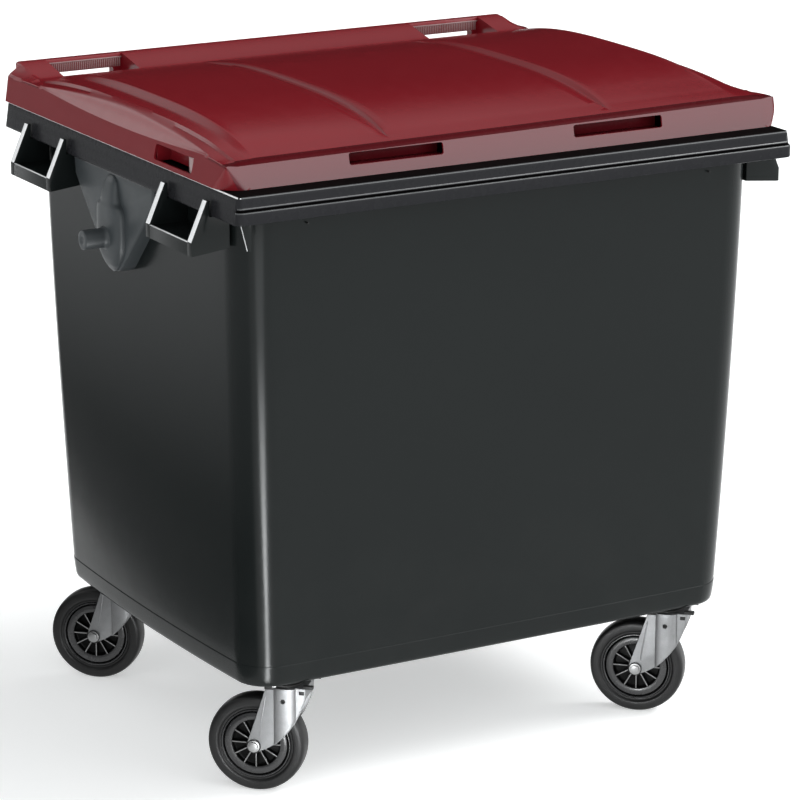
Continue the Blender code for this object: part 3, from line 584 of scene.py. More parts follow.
ROWS = [-459.0, -457.5, -455.0, -451.0, -447.0, -443.0, -440.5, -438.5, -436.0, -430.0, -423.0, -416.0, -408.0, -400.0, -391.0, -382.0]
ROWS += [-370.0 + 15.0 * i for i in range(49)]
ROWS += [363.0, 373.0, 383.0, 392.0, 400.0, 408.0, 416.0, 424.0, 430.0, 438.0, 447.0, 458.0, 470.0, 484.0, 498.0, 512.0, 522.0, 527.0, 530.0]
REAR_ROWS = [530.6, 536.0, 541.0, 545.0, 549.0, 552.0, 554.4, 555.6, 556.0]
bm = bmesh.new()
grid = []
K = len(profile(0.0))
I588 = 13 + 13 + 19 + len(STEP) - 1
for y in ROWS:
    half = profile(y)
    if y <= -453.0:                            # small round over the front edge
        k = smooth((-453.0 - y) / 6.0)
        half = [(x, z - 3.4 * k if x < 600 else z - 0.6 * k) for x, z in half]
    tip = smooth((-330.0 - y) / 129.0)
    line = []
    for x, z in [(-x, z) for x, z in reversed(half)] + half[1:]:
        line.append(bm.verts.new((x + (7.5 * tip * smooth((x - 540.0) / 76.0) if x > 540 else 0.0), y, z + (5.0 if x < 0 else 7.5) * tip * x / 616.0)))
    grid.append(line)
for y in REAR_ROWS:
    half = profile(min(y, 545.0))
    drop = 0.0 if y < 549 else {549.0: 0.15, 552.0: 0.7, 554.4: 2.0, 555.6: 4.2, 556.0: 7.0}[y]
    pull = {549.0: 0.5, 552.0: 1.6, 554.4: 3.6, 555.6: 6.0, 556.0: 9.0}.get(y, 0.0)
    zb = half[I588][1] - drop
    out = []
    for k, (x, z) in enumerate(half):
        if k < I588:
            out.append((min(x, 588.0) * (1 - pull / 588.0 * smooth(x / 588.0)), z - drop))
        else:
            t = (k - I588) / (K - 1 - I588)
            rr = 7.0
            if t < 0.5:
                a = math.pi / 2 * (t / 0.5)
                out.append((588.0 - rr + rr * math.sin(a) - pull + 3.0, zb - rr * (1 - math.cos(a))))
            else:
                out.append((588.0 - pull + 3.0, zb - rr + (LZ + 0.8 - zb + rr) * (t - 0.5) / 0.5))
    line = [bm.verts.new((-x, y, z)) for x, z in reversed(out)] + [bm.verts.new((x, y, z)) for x, z in out[1:]]
    grid.append(line)
nx = len(grid[0])
for a, b in zip(grid, grid[1:]):
    for i in range(nx - 1):
        bm.faces.new((a[i], a[i + 1], b[i + 1], b[i]))

NR = len(ROWS)
left = [grid[j][0] for j in range(NR - 1, -1, -1)]
right = [grid[j][-1] for j in range(NR)]
NA = 12


def ring_point(kind, co, t):
    z = co.z + (LZ - co.z) * t
    yf, r = -459.0 - 11.0 * t, (54.0 * t if co.x < 0 else 22.0 * t ** 3)
    if kind == "side":
        x = abs(co.x) + (628.0 - abs(co.x)) * t
        y = co.y
        if y < -380:
            y = -380 + (y + 380) * (yf + r + 380) / (-459.0 + 380)
        if y > 480:
            y = 480 + (y - 480) * (50.0 - 8.0 * t) / 50.0
        return (math.copysign(x, co.x), y, z)
    if kind == "front":
        x0 = 616.6 if co.x < 0 else 624.1
        xo = x0 + (628.0 - x0) * t
        x = abs(co.x)
        if x > 560:
            x = 560 + (x - 560) * (xo - r - 560) / (x0 - 560)
        return (math.copysign(x, co.x), yf, z)
    return (co.x, co.y, z)


TS = [0.012, 0.035, 0.08, 0.16, 0.26, 0.37, 0.48, 0.59, 0.70, 0.80, 0.89, 0.95, 0.985, 1.0]
path = [("side", v.co.copy(), v) for v in left]
cor = grid[0][0].co.copy()
arcs = []
for i in range(1, NA):
    path.append((("arc", -1, i), cor.copy(), None))
path += [("front", v.co.copy(), v) for v in grid[0][1:-1]]
corr = grid[0][-1].co.copy()
for i in range(NA - 1, 0, -1):
    path.append((("arc", 1, i), corr.copy(), None))
path += [("side", v.co.copy(), v) for v in right]
path += [("rear", grid[j][-1].co.copy(), grid[j][-1]) for j in range(NR, len(grid) - 1)]
path += [("rear", v.co.copy(), v) for v in reversed(grid[-1])]
path += [("rear", grid[j][0].co.copy(), grid[j][0]) for j in range(len(grid) - 2, NR - 1, -1)]
prev = [v if v is not None else bm.verts.new(co) for kind, co, v in path]
for t in TS:
    cur = []
    for kind, co, v in path:
        if isinstance(kind, tuple):
            _, s, i = kind
            r, yf, xo = (54.0 * t if s < 0 else 22.0 * t ** 3), -459.0 - 11.0 * t, abs(co.x) + (628.0 - abs(co.x)) * t
            a = math.radians(180 + 90 * i / NA)
            cx, cy = xo - r, yf + r
            p = (s * (cx - r * math.cos(a)), cy + r * math.sin(a), co.z + (LZ - co.z) * t)
        else:
            p = ring_point(kind, co, t)
        cur.append(bm.verts.new(p))
    n = len(cur)
    for i in range(n):
        j = (i + 1) % n
        bm.faces.new((prev[i], prev[j], cur[j], cur[i]))
    prev = cur
bmesh.ops.remove_doubles(bm, verts=bm.verts, dist=0.02)
bmesh.ops.dissolve_degenerate(bm, edges=bm.edges, dist=0.01)
bmesh.ops.recalc_face_normals(bm, faces=bm.faces)
top = max(bm.faces, key=lambda f: f.calc_center_median().z)
if top.normal.z < 0:
    bmesh.ops.reverse_faces(bm, faces=bm.faces)
lid = obj_from("lid", bm)
so = lid.modifiers.new("thickness", "SOLIDIFY")
so.thickness = 4.0 * MM
so.offset = -1.0
so.use_even_offset = False
bake(lid)
for v in lid.data.vertices:
    v.co.z = max(v.co.z, LZ * MM)


def slot_pts(a0, a1, b0, b1, r, n=6):
    pts = []
    for cx, cy, s0 in ((a1 - r, b0 + r, -90), (a1 - r, b1 - r, 0), (a0 + r, b1 - r, 90), (a0 + r, b0 + r, 180)):
        pts += circle(cx, cy, r, s0, s0 + 90, n)
    return pts


for s in (-1, 1):
    x0, x1 = sorted((s * 148.5, s * 355.6))
    boolean(lid, obj_from("slot", prism(slot_pts(x0, x1, 1282.6 + s * 0.7, 1306.4 + s * 1.3, 5.0), -491.3, -437.1, "Y")), solver="MANIFOLD")
for s in (-1, 1):
    # tray of the rear hand recess
    x0, x1 = sorted((s * 347.0, s * 533.0))
    tray = prism([(440.0, 1280.0), (553.0, 1280.0), (553.0, 1331.0), (545.0, 1333.4), (530.0, 1331.0), (440.0, 1313.5)], x0, x1, "X")
    boolean(lid, obj_from("tray", tray), "UNION")
for s in (-1, 1):
    x0, x1 = sorted((s * 352.0, s * 528.0))
    pocket = prism([(452.0, 1345.0), (447.0, 1318.0), (450.0, 1290.0), (458.0, 1284.5), (530.0, 1284.5), (536.0, 1290.0), (536.0, 1326.0), (538.5, 1345.0)], x0, x1, "X")
    boolean(lid, obj_from("pocket", pocket))
    x0, x1 = sorted((s * 372.0, s * 513.0))
    boolean(lid, obj_from("way", prism(slot_pts(x0, x1, 1288.5, 1305.5, 4.0), 520.0, 575.0, "Y")))
    x0, x1 = sorted((s * 600.0, s * 640.0))
    boolean(lid, obj_from("side", prism(slot_pts(-333.0, -172.0, 1268.0, 1298.0, 7.0), x0, x1, "X")))

parts, fins = [], []
for s in (-1, 1):
    # fins on the back wall of the recess, ledge behind the front slot, end wall of the side slot
    for i in range(38):
        x = s * (357.0 + 4.45 * i)
        fins.append(rbox(x - 1.1, x + 1.1, 534.6, 537.2, 1306.5, 1325.5, 0.4, 1))
    x0, x1 = sorted((s * 353.0, s * 527.0))
    fins.append(rbox(x0, x1, 533.8, 537.2, 1325.0, 1327.6, 0.8, 2))
    x0, x1 = sorted((s * 144.0, s * 360.0))
    parts.append(rbox(x0, x1, -462.0, -428.0, 1277.5, 1281.5, 1.2, 2))
    parts.append(rbox(x0, x1, -432.0, -428.0, 1279.0, 1309.0, 1.0, 2))
    x0, x1 = sorted((s * 592.0, s * 617.5))
    parts.append(rbox(x0, x1, -340.0, -334.0, 1266.0, 1302.0, 2.0, 3))
    x0, x1 = sorted((s * 584.0, s * 617.5))
    parts.append(rbox(x0, x1, -338.0, -166.0, 1300.0, 1303.0, 1.0, 1))
    parts.append(rbox(x0, x1, -171.0, -167.0, 1262.0, 1302.0, 1.0, 1))
    x0, x1 = sorted((s * 584.0, s * 588.0))
    parts.append(rbox(x0, x1, -338.0, -166.0, 1262.0, 1301.0, 1.0, 1))
    # hinge knuckle with its bore
    hx = s * HINGE_X
    kn = [(553.0, 1292.0), (553.0, 1331.0), (HINGE_Y, HINGE_Z + 15.5)] + circle(HINGE_Y, HINGE_Z, 15.5, 78, -90, 24) + [(HINGE_Y - 18, HINGE_Z - 10)]
    k = obj_from("knuckle", prism(kn, hx - 22, hx + 22, "X", 1.0), shift=False)
    b = obj_from("bore", turn([(0, -30), (7.7, -30), (7.7, 30), (0, 30)], "X", 32, (hx, HINGE_Y, HINGE_Z)), shift=False)
    boolean(k, b)
    k.data.transform(Matrix.Translation((0, DY * MM, 0)))
    parts.append(k)
obs = [lid]
bms = [p for p in parts if not isinstance(p, bpy.types.Object)]
obs.append(obj_from("lid_small", merge(bms)))
obs += [p for p in parts if isinstance(p, bpy.types.Object)]
lid = join(obs)
ends = []
for s in (-1, 1):
    pl = [(s * 619.5, -333.0), (s * 621.5, -329.0), (s * 621.0, -318.0), (s * 617.0, -307.0), (s * 609.0, -299.0), (s * 598.0, -295.0), (s * 588.0, -294.0), (s * 588.0, -333.0)]
    ends.append(prism(pl, 1267.5, 1298.5, "Z", 0.5))
end_walls = obj_from("slot_end_walls", merge(ends + fins))
# painted light: the end walls and fins take the pale pink copy of the lid red
finish(end_walls, "lid", [M_LID_PAINTED_LIGHT], (), 40)
finish(lid, "lid", [M_LID, M_LID_PAINTED_SHADE_CREASE, M_LID_PAINTED_SHADE_FRONT, M_LID_PAINTED_SHADE_SKIRT], ["lid_shell"], 27)
for p in lid.data.polygons:
    # painted shade on the crease strip along the front edge
    if p.center.y / MM - DY < -443.5 and p.normal.z > 0.35 and p.center.z / MM > 1298.0:
        p.material_index = 1
    # painted shade inside the front slots
    elif -457.0 < p.center.y / MM - DY < -425.0 and 0.140 < abs(p.center.x) < 0.362 and 1276.0 < p.center.z / MM < 1311.0:
        p.material_index = 1
    # painted shade on the front face
    elif p.center.y / MM - DY < -450.0 and p.normal.y < -0.90:
        p.material_index = 2
    # painted shade on the skirt and the front corners
    elif abs(p.center.x) > 0.604 and p.center.z / MM < 1316.0 and p.normal.z < 0.5 and p.normal.y < 0.6:
        p.material_index = 3
    elif p.center.y / MM - DY < -405.0 and abs(p.center.x) > 0.56 and p.normal.z < 0.3:
        p.material_index = 3

# ============================================================ grip pockets
GX = 592.0
OUTER = [(GX, 1205.5), (652.0, 1205.5), (673.0, 1158.0), (673.0, 1132.0), (GX, 1132.0)]
for end, (y0, y1) in (("rear", (219.0, 393.0)), ("front", (-415.0, -238.0))):
    for side, s in (("left", -1), ("right", 1)):
        plates = []
        for yc in (y0, y1):
            # side plate; its slanted edge, which carries the painted highlight, stands proud of the flange
            prof = [(s * x, z) for x, z in [(GX, 1205.5), (634.0, 1205.5), (633.2, 1236.0), (639.5, 1236.0), (653.0, 1205.0), (673.0, 1159.0), (673.0, 1132.0), (667.0, 1132.0), (GX, 1140.0)]]
            plates.append(prism(prof, yc - 9, yc + 9, "Y", 1.0))
        # floor, outer lip
        lip = [(s * x, z) for x, z in [(GX, 1157.0), (668.0, 1157.0), (670.5, 1158.6), (673.0, 1157.0), (673.0, 1132.0), (669.0, 1132.0), (668.5, 1152.5), (GX, 1153.0)]]
        plates.append(prism(lip, y0 + 8, y1 - 8, "Y", 0.7))
        # stiffening webs below the floor
        for f in (0.25, 0.5, 0.75):
            yy = y0 + (y1 - y0) * f
            web = [(s * x, z) for x, z in [(GX, 1154.0), (669.5, 1154.0), (669.5, 1139.0), (GX, 1146.0)]]
            plates.append(prism(web, yy - 1.5, yy + 1.5, "Y"))
        g = obj_from(f"grip_{end}_{side}", merge(plates))
        finish(g, "body", [M_BODY, M_PAINTED_HIGHLIGHT_PALE], [f"grip_pocket_{end}_{side}"], 30)
        # the slanted outer edges and the floor edge get the pale painted highlight
        for p in g.data.polygons:
            c, n = p.center, p.normal
            slant = n.x * s > 0.5 and abs(n.y) < 0.2
            if slant and abs(c.x) > 0.6335 and c.z > 1.1585:
                p.material_index = 1
            if n.z > 0.55 and abs(c.x) > 0.6655 and c.z > 1.156:
                p.material_index = 1

# ============================================================== trunnions
TY, TZ, TR, TX = 20.0, 1074.0, 20.0, 692.0
for side, s in (("left", -1), ("right", 1)):
    rings = []
    # shield-shaped panel on the wall, thickening to a domed rib that carries the pin
    NP = 72

    def shield(k, x):
        tri = [(-181.0, 1204.5), (181.0, 1204.5), (177.0, 1172.0), (144.0, 1134.0), (109.0, 1096.0), (72.0, 1057.0), (34.0, 1017.0), (22.0, 1008.0), (10.0, 1003.5), (-10.0, 1003.5), (-22.0, 1008.0), (-34.0, 1017.0), (-72.0, 1057.0), (-109.0, 1096.0), (-144.0, 1134.0), (-177.0, 1172.0)]
        out = []
        for i in range(len(tri)):
            p, q = tri[i], tri[(i + 1) % len(tri)]
            for j in range(6):
                t = j / 6
                y, z = p[0] + (q[0] - p[0]) * t, p[1] + (q[1] - p[1]) * t
                zz = 1112.0 + (z - 1112.0) * k
                xx = x if x > 600 else HW0 + (HW1 - HW0) * (1 - max(0.0, (Z1 - zz) / (Z1 - Z0)) ** 1.5) - 0.4
                out.append(Vector((s * xx, TY + y * k, zz)))
        return out
    bm = loft([shield(1.0, 586.0), shield(1.0, 619.0), shield(0.993, 621.0), shield(0.978, 622.4), shield(0.960, 623.0), shield(0.5, 623.2)], cap0=True, cap1=True)
    bmesh.ops.recalc_face_normals(bm, faces=bm.faces)
    panel = bm
    # domed vertical rib with a cone above it
    rib = []
    keys = [(1003.5, 6.0, 624.5), (1008.0, 17.0, 628.0), (1018.0, 29.0, 633.5), (1034.0, 41.0, 639.5), (1052.0, 49.0, 643.0), (1070.0, 52.0, 644.0), (1128.0, 52.0, 644.0),
            (1138.0, 47.0, 643.0), (1146.0, 36.0, 641.0), (1160.0, 31.0, 639.0), (1175.0, 28.0, 636.0), (1187.0, 24.0, 632.5), (1195.0, 18.0, 628.5), (1199.5, 9.0, 624.5)]
    rows = []
    for (z0, h0, x0), (z1, h1, x1) in zip(keys, keys[1:]):
        rows += [(z0 + (z1 - z0) * k / 5, h0 + (h1 - h0) * k / 5, x0 + (x1 - x0) * k / 5) for k in range(5)]
    rows.append(keys[-1])
    for _ in range(3):
        rows = [rows[0]] + [(b[0], (a[1] + 2 * b[1] + c[1]) / 4, (a[2] + 2 * b[2] + c[2]) / 4) for a, b, c in zip(rows, rows[1:], rows[2:])] + [rows[-1]]
    for z, hb, hx in rows:
        half = []
        for k in range(15):
            a = math.pi / 2 * (1 - k / 15)
            half.append((hb * math.sin(a) ** 0.66, 622.4 + (hx - 622.4) * math.cos(a) ** 0.66 if k else 621.0))
        rib.append([Vector((s * x, TY - y, z)) for y, x in half] + [Vector((s * hx, TY, z))] + [Vector((s * x, TY + y, z)) for y, x in reversed(half)])
    rb = loft(rib, cap0=True, cap1=True)
    bmesh.ops.recalc_face_normals(rb, faces=rb.faces)
    pin = turn([(0, s * 600.0), (25.0, s * 600.0), (25.0, s * 640.0), (24.4, s * 643.0), (23.0, s * 645.0), (21.4, s * 647.0), (20.4, s * 650.0), (TR, s * 654.0),
                (TR, s * (TX - 2.5)), (TR - 0.8, s * (TX - 0.8)), (TR - 2.5, s * TX), (8.0, s * TX), (6.5, s * (TX - 1.5)), (0, s * (TX - 1.5))], "X", 64, (0, TY, TZ))
    t = obj_from(f"trunnion_{side}_look", merge([panel, rb, pin]))
    finish(t, "body", [M_TRIM, M_PAINTED_HIGHLIGHT_GREY], [f"trunnion_{side}"], 62)
    # painted highlight on the upward faces along the top of the panel
    for p in t.data.polygons:
        if p.normal.z > 0.2 and p.center.z > 1.1995 and abs(p.center.x) > 0.6:
            p.material_index = 1

# =============================================================== castors
CX, CYF, CYR, TRAIL, WR, SWIVEL = 452.7, -371.0, 371.0, 55.0, 100.0, 47.0
ROTX = Matrix.Rotation(math.pi / 2, 4, "Y")


def wheel_ring(r0, r1, h0, h1, seg=96, e=0.6):
    """Ring between two radii and two faces with eased edges, about the local X axis through the axle."""
    return turn([(r0, h0 + e), (r0 + e, h0), (r1 - e, h0), (r1, h0 + e), (r1, h1 - e), (r1 - e, h1), (r0 + e, h1), (r0, h1 - e)], "X", seg, (0, TRAIL, WR))


def hub_mesh():
    prof = []
    half = [(71.6, 18.6), (71.4, 20.2), (70.4, 21.4), (69.2, 21.6), (68.3, 20.6), (67.8, 17.6), (67.2, 15.4), (66.2, 14.6), (65.4, 15.4), (64.8, 18.0), (63.8, 19.6), (61.0, 20.8), (57.0, 21.3), (53.0, 21.0), (50.8, 20.4), (49.6, 19.0), (49.0, 12.0), (48.4, 8.0), (46.0, 6.2), (22.0, 6.6),
            (19.6, 8.0), (18.6, 12.0), (17.6, 28.0), (16.6, 30.2), (15.2, 30.5), (8.2, 30.5), (6.8, 29.4)]
    prof = half + [(r, -h) for r, h in reversed(half)]
    bms = [turn(prof, "X", 96, (0, TRAIL, WR))]
    for s in (-1, 1):
        for i in range(12):
            a = 2 * math.pi * i / 12
            x0, x1 = sorted((s * 5.5, s * 19.2))
            rb = rbox(x0, x1, -1.25, 1.25, 17.5, 50.4, 0.5, 2)
            bmesh.ops.transform(rb, matrix=Matrix.Translation((0, TRAIL, WR)) @ Matrix.Rotation(a, 4, "X"), verts=rb.verts)
            bms.append(rb)
    return merge(bms)


def tyre_mesh():
    half = [(72.0, 18.0), (72.6, 19.0), (74.0, 19.4), (75.6, 19.2), (76.6, 19.8), (77.4, 21.2), (78.6, 22.8), (80.4, 23.8), (83.0, 24.0), (88.0, 23.9),
            (92.0, 23.4), (95.0, 22.4), (97.0, 20.8), (98.4, 18.2), (99.2, 14.5), (99.7, 9.5), (99.9, 4.0)]
    prof = half + [(r, -h) for r, h in reversed(half)]
    return turn(prof, "X", 128, (0, TRAIL, WR))


LEG = [(30.0, 229.0), (36.0, 207.0), (52.2, 156.5), (68.0, 108.5), (69.0, 104.0)] + circle(TRAIL, WR, 14.5, -6, -115, 10) + \
      [(42.0, 90.5), (30.0, 95.8), (14.0, 106.0), (6.6, 111.8), (0.7, 118.0), (-8.0, 127.5), (-16.0, 137.0), (-23.0, 146.5), (-29.0, 156.0), (-34.5, 166.5), (-39.0, 177.0), (-44.0, 189.0), (-48.0, 201.0), (-49.6, 215.0), (-50.0, 229.0)]


def fork_mesh():
    bms, holes = [], []
    for s in (-1, 1):
        x0, x1 = sorted((s * 32.0, s * 35.0))
        bms.append(prism(LEG, x0, x1, "X", 0.9, 3))
        # pressed rib down the leg, and the rolled rear lip
        a, b = Vector((s * 34.6, 31.0, 206.0)), Vector((s * 34.6, 44.0, 122.0))
        for p0, p1, r in ((a, b, 1.4),):
            d = p1 - p0
            cyl = turn([(0, -r), (r * 0.7, -r * 0.7), (r, 0), (r, d.length), (r * 0.7, d.length + r * 0.7), (0, d.length + r)], "Z", 16)
            bmesh.ops.transform(cyl, matrix=Matrix.Translation(p0) @ d.to_track_quat("Z", "Y").to_matrix().to_4x4(), verts=cyl.verts)
            bms.append(cyl)
        edge = [(14.0, 106.0), (0.7, 118.0), (-16.0, 137.0), (-29.0, 156.0), (-39.0, 177.0), (-48.0, 201.0), (-50.0, 227.0)]
        rings = []
        for i, (y, z) in enumerate(edge):
            p, q = edge[max(0, i - 1)], edge[min(len(edge) - 1, i + 1)]
            t = Vector((0, q[0] - p[0], q[1] - p[1])).normalized()
            nrm = Vector((0, -t.z, t.y))
            rings.append([Vector((s * 33.5, y, z)) + nrm * (1.7 * math.sin(u)) + Vector((s * 2.0 * math.cos(u), 0, 0)) for u in [2 * math.pi * k / 12 for k in range(12)]])
        rl = loft(rings, cap0=True, cap1=True)
        bmesh.ops.recalc_face_normals(rl, faces=rl.faces)
        bms.append(rl)
        # boss around the axle
        bms.append(turn([(6.5, s * 35.0), (13.0, s * 35.0), (12.4, s * 36.0), (11.0, s * 36.5), (6.5, s * 36.5)], "X", 48, (0, TRAIL, WR)))
        # half round pressed section about the swivel axis, cut off by the lower edge, with its small hole
        low = [(-50.0, 229.0), (-48.0, 201.0), (-39.0, 177.0), (-29.0, 156.0), (-16.0, 137.0), (0.7, 118.0), (14.0, 106.0), (30.0, 95.8)]
        rings = []
        for i in range(29):
            a = math.pi * i / 28
            y, dx = -9.0 - 22.5 * math.cos(a), 11.5 * math.sin(a) ** 0.8
            zl = lerp(low, y) + 0.6
            col = [Vector((s * 33.0, y, zl)), Vector((s * (34.6 + dx), y, zl)), Vector((s * (35.0 + dx), y, zl + 0.8))]
            col += [Vector((s * (35.0 + dx), y, zl + 0.8 + (227.6 - zl - 0.8) * k / 12)) for k in range(1, 13)]
            col += [Vector((s * (34.6 + dx), y, 228.6)), Vector((s * 33.0, y, 228.6))]
            rings.append(col)
        hc = loft(rings, cap0=True, cap1=True)
        bmesh.ops.recalc_face_normals(hc, faces=hc.faces)
        tube = obj_from("tube", hc, False)
        boolean(tube, obj_from("hole", turn([(0, 30.0), (5.0, 30.0), (5.0, 60.0), (0, 60.0)] if s > 0 else [(0, -60.0), (5.0, -60.0), (5.0, -30.0), (0, -30.0)], "X", 24, (0, -8.0, 203.0)), False))
        hb = bmesh.new()
        hb.from_mesh(tube.data)
        bmesh.ops.scale(hb, vec=(1000, 1000, 1000), verts=hb.verts)
        bpy.data.objects.remove(tube, do_unlink=True)
        bms.append(hb)
        # dark plug in the hole: painted shade inside it
        holes.append(turn([(0, s * 38.0), (4.9, s * 38.0), (4.9, s * 41.5), (0, s * 41.5)], "X", 24, (0, -8.0, 203.0)))
    # crown with turned-down front and rear lips
    crown = [(-35.0, -50.0), (35.0, -50.0), (35.0, 30.0), (-35.0, 30.0)]
    c = prism(crown, 226.0, 229.0, "Z", 0.9, 2)
    bms.append(c)
    bms.append(rbox(-35.0, 35.0, 28.0, 31.0, 210.0, 228.6, 1.2, 2))
    bms.append(rbox(-35.0, 35.0, -51.0, -48.0, 206.0, 228.6, 1.2, 2))
    # dark pieces: a block on the front lip, one at the rear lip and one beside the front lip; dark plugs in the holes,
    # painted shade inside them
    for s in (-1, 1):
        holes.append(rbox(min(s * 27.0, s * 38.5), max(s * 27.0, s * 38.5), -67.0, -46.0, 229.2, 236.0, 1.4, 2))
        holes.append(rbox(min(s * 28.0, s * 38.0), max(s * 28.0, s * 38.0), 12.0, 32.5, 222.5, 233.0, 2.0, 3))
        holes.append(rbox(min(s * 33.0, s * 35.5), max(s * 33.0, s * 35.5), -49.0, -37.5, 215.5, 223.5, 1.1, 2))
    holes.append(turn([(8.0, -36.9), (13.4, -36.9), (14.2, -37.4), (13.4, -38.2), (8.0, -38.2)], "X", 40, (0, TRAIL, WR)))
    return merge(bms), merge(holes)


def axle_mesh():
    hexa = []
    for i in range(6):
        hexa.append((TRAIL + 10.5 * math.cos(math.pi / 3 * i + 0.3), WR + 10.5 * math.sin(math.pi / 3 * i + 0.3)))
    head = prism(hexa, -43.8, -38.6, "X", 0.9, 2)
    washer = turn([(6.2, -38.9), (11.6, -38.9), (12.2, -38.6), (12.2, -38.0), (11.6, -37.8), (6.2, -37.8)], "X", 48, (0, TRAIL, WR))
    shank = turn([(0, -38.6), (6.0, -38.6), (6.0, 42.2), (5.2, 43.0), (0, 43.0)], "X", 32, (0, TRAIL, WR))
    dome = turn([(0, -44.0), (6.5, -44.0), (7.4, -43.7), (7.4, -43.5), (0, -43.5)], "X", 32, (0, TRAIL, WR))
    return merge([head, washer, shank, dome])


def nut_mesh():
    hexa = [(TRAIL + 10.5 * math.cos(math.pi / 3 * i), WR + 10.5 * math.sin(math.pi / 3 * i)) for i in range(6)]
    return merge([prism(hexa, 36.9, 42.0, "X", 0.9, 2), turn([(6.2, 36.6), (13.6, 36.6), (14.0, 37.0), (13.6, 37.6), (6.2, 37.6)], "X", 48, (0, TRAIL, WR))])


def plate_mesh():
    pl = prism(slot_pts(-52, 52, -42, 42, 6.0), 241.7, 244.7, "Z", 0.6, 2)
    race = turn([(7.0, 241.0), (36.0, 241.9), (36.4, 240.6), (35.6, 238.4), (33.2, 236.4), (31.4, 233.4), (30.4, 230.4), (29.4, 229.4), (7.0, 229.4)], "Z", 64)
    seal = turn([(30.0, 229.6), (38.0, 229.6), (39.2, 230.6), (39.0, 233.0), (37.0, 234.6), (31.2, 234.8)], "Z", 64)
    return pl, merge([race, seal])


for name, cx, cy in (("front_left", -CX, CYF), ("front_right", CX, CYF), ("rear_left", -CX, CYR), ("rear_right", CX, CYR)):
    base = Matrix.Translation((cx * MM, (cy + DY) * MM, 0))
    turned = base @ Matrix.Rotation(math.radians(SWIVEL), 4, "Z")

    def put(ob, m, body, mats, rep, angle=30):
        ob.data.transform(m)
        return finish(ob, body, mats, rep, angle)

    sw, wh = f"castor_{name}_swivel", f"castor_{name}_wheel"
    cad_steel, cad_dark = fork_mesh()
    put(obj_from(f"fork_{name}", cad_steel, False), turned, sw, [M_ZINC], [f"castor_{name}_fork"])
    put(obj_from(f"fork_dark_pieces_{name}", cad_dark, False), turned, sw, [M_SEAL_AND_PAINTED_SHADE], [])
    put(obj_from(f"axle_{name}", axle_mesh(), False), turned, sw, [M_BOLT], [f"castor_{name}_axle_bolt"])
    put(obj_from(f"nut_{name}", nut_mesh(), False), turned, sw, [M_BOLT], [f"castor_{name}_axle_nut"])
    hub = put(obj_from(f"hub_{name}", hub_mesh(), False), turned, wh, [M_HUB, M_HUBRIM, M_RIB], [f"castor_{name}_hub"])
    ax = turned @ Vector((0, TRAIL * MM, WR * MM))
    axis = (turned.to_3x3() @ Vector((1, 0, 0))).normalized()
    for p in hub.data.polygons:
        d = p.center - ax
        h = d.dot(axis)
        r = (d - axis * h).length / MM
        if r > 48.6 and abs(h) / MM > 18.5:
            p.material_index = 1
        elif abs(h) / MM > 18.4 and 17.6 < r < 48.2:
            p.material_index = 2
    put(obj_from(f"tyre_{name}", tyre_mesh(), False), turned, wh, [M_TYRE], [f"castor_{name}_tyre"])
    pl, seal = plate_mesh()
    put(obj_from(f"plate_{name}", pl, False), base, "body", [M_ZINC], [f"castor_{name}_top_plate"])
    put(obj_from(f"seal_{name}", seal, False), base, "body", [M_SEAL_AND_PAINTED_SHADE], [])

# ------------------------------------------- solids that stay as they are
for node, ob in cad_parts.items():
    if ob.hide_render:
        continue
    mat = M_BOLT if ("bolt" in node or "kingpin" in node or "pin" in node) else M_TRIM if "bracket" in node else M_BODY
    for k in range(len(ob.data.materials)):
        ob.data.materials[k] = mat

# ============================================================ stage, camera
fl, _, b = nodes_of("studio_floor")
tc = fl.node_tree.nodes.new("ShaderNodeTexCoord").outputs["Object"]
n = noise(fl.node_tree, tc, 0.4, 3.0, 0.5)
fl.node_tree.links.new(mix(fl.node_tree, n, (0.86, 0.87, 0.87), (0.90, 0.905, 0.905)), b.inputs["Base Color"])
b.inputs["Roughness"].default_value = 0.85
b.inputs["Specular IOR Level"].default_value = 0.1
b.inputs["Emission Color"].default_value = (0.97, 0.98, 0.98, 1.0)
b.inputs["Emission Strength"].default_value = 0.40
bm = bmesh.new()
N = 40
for i in range(N + 1):
    for j in range(N + 1):
        bm.verts.new((-13000 + 26000 * i / N, -13000 + 26000 * j / N, 0.0))
bm.verts.ensure_lookup_table()
for i in range(N):
    for j in range(N):
        a = i * (N + 1) + j
        bm.faces.new((bm.verts[a], bm.verts[a + N + 1], bm.verts[a + N + 2], bm.verts[a + 1]))
floor = obj_from("studio_floor", bm, False)
floor.data.materials.append(fl)
floor.data.shade_smooth()

world = bpy.data.worlds.new("studio")
bpy.context.scene.world = world
world.use_nodes = True
wt = world.node_tree
bg = wt.nodes["Background"]
co = wt.nodes.new("ShaderNodeTexCoord").outputs["Generated"]


def lobe(direction, inner, outer):
    """1 within inner degrees of a direction, falling to 0 at outer degrees."""
    d = Vector(direction).normalized()
    dot = wt.nodes.new("ShaderNodeVectorMath")
    dot.operation = "DOT_PRODUCT"
    dot.inputs[1].default_value = d
    wt.links.new(co, dot.inputs[0])
    r = wt.nodes.new("ShaderNodeMapRange")
    r.interpolation_type = "SMOOTHSTEP"
    r.inputs["From Min"].default_value = math.cos(math.radians(outer))
    r.inputs["From Max"].default_value = math.cos(math.radians(inner))
    wt.links.new(dot.outputs["Value"], r.inputs["Value"])
    return r.outputs["Result"]


sep = wt.nodes.new("ShaderNodeSeparateXYZ")
wt.links.new(co, sep.inputs[0])
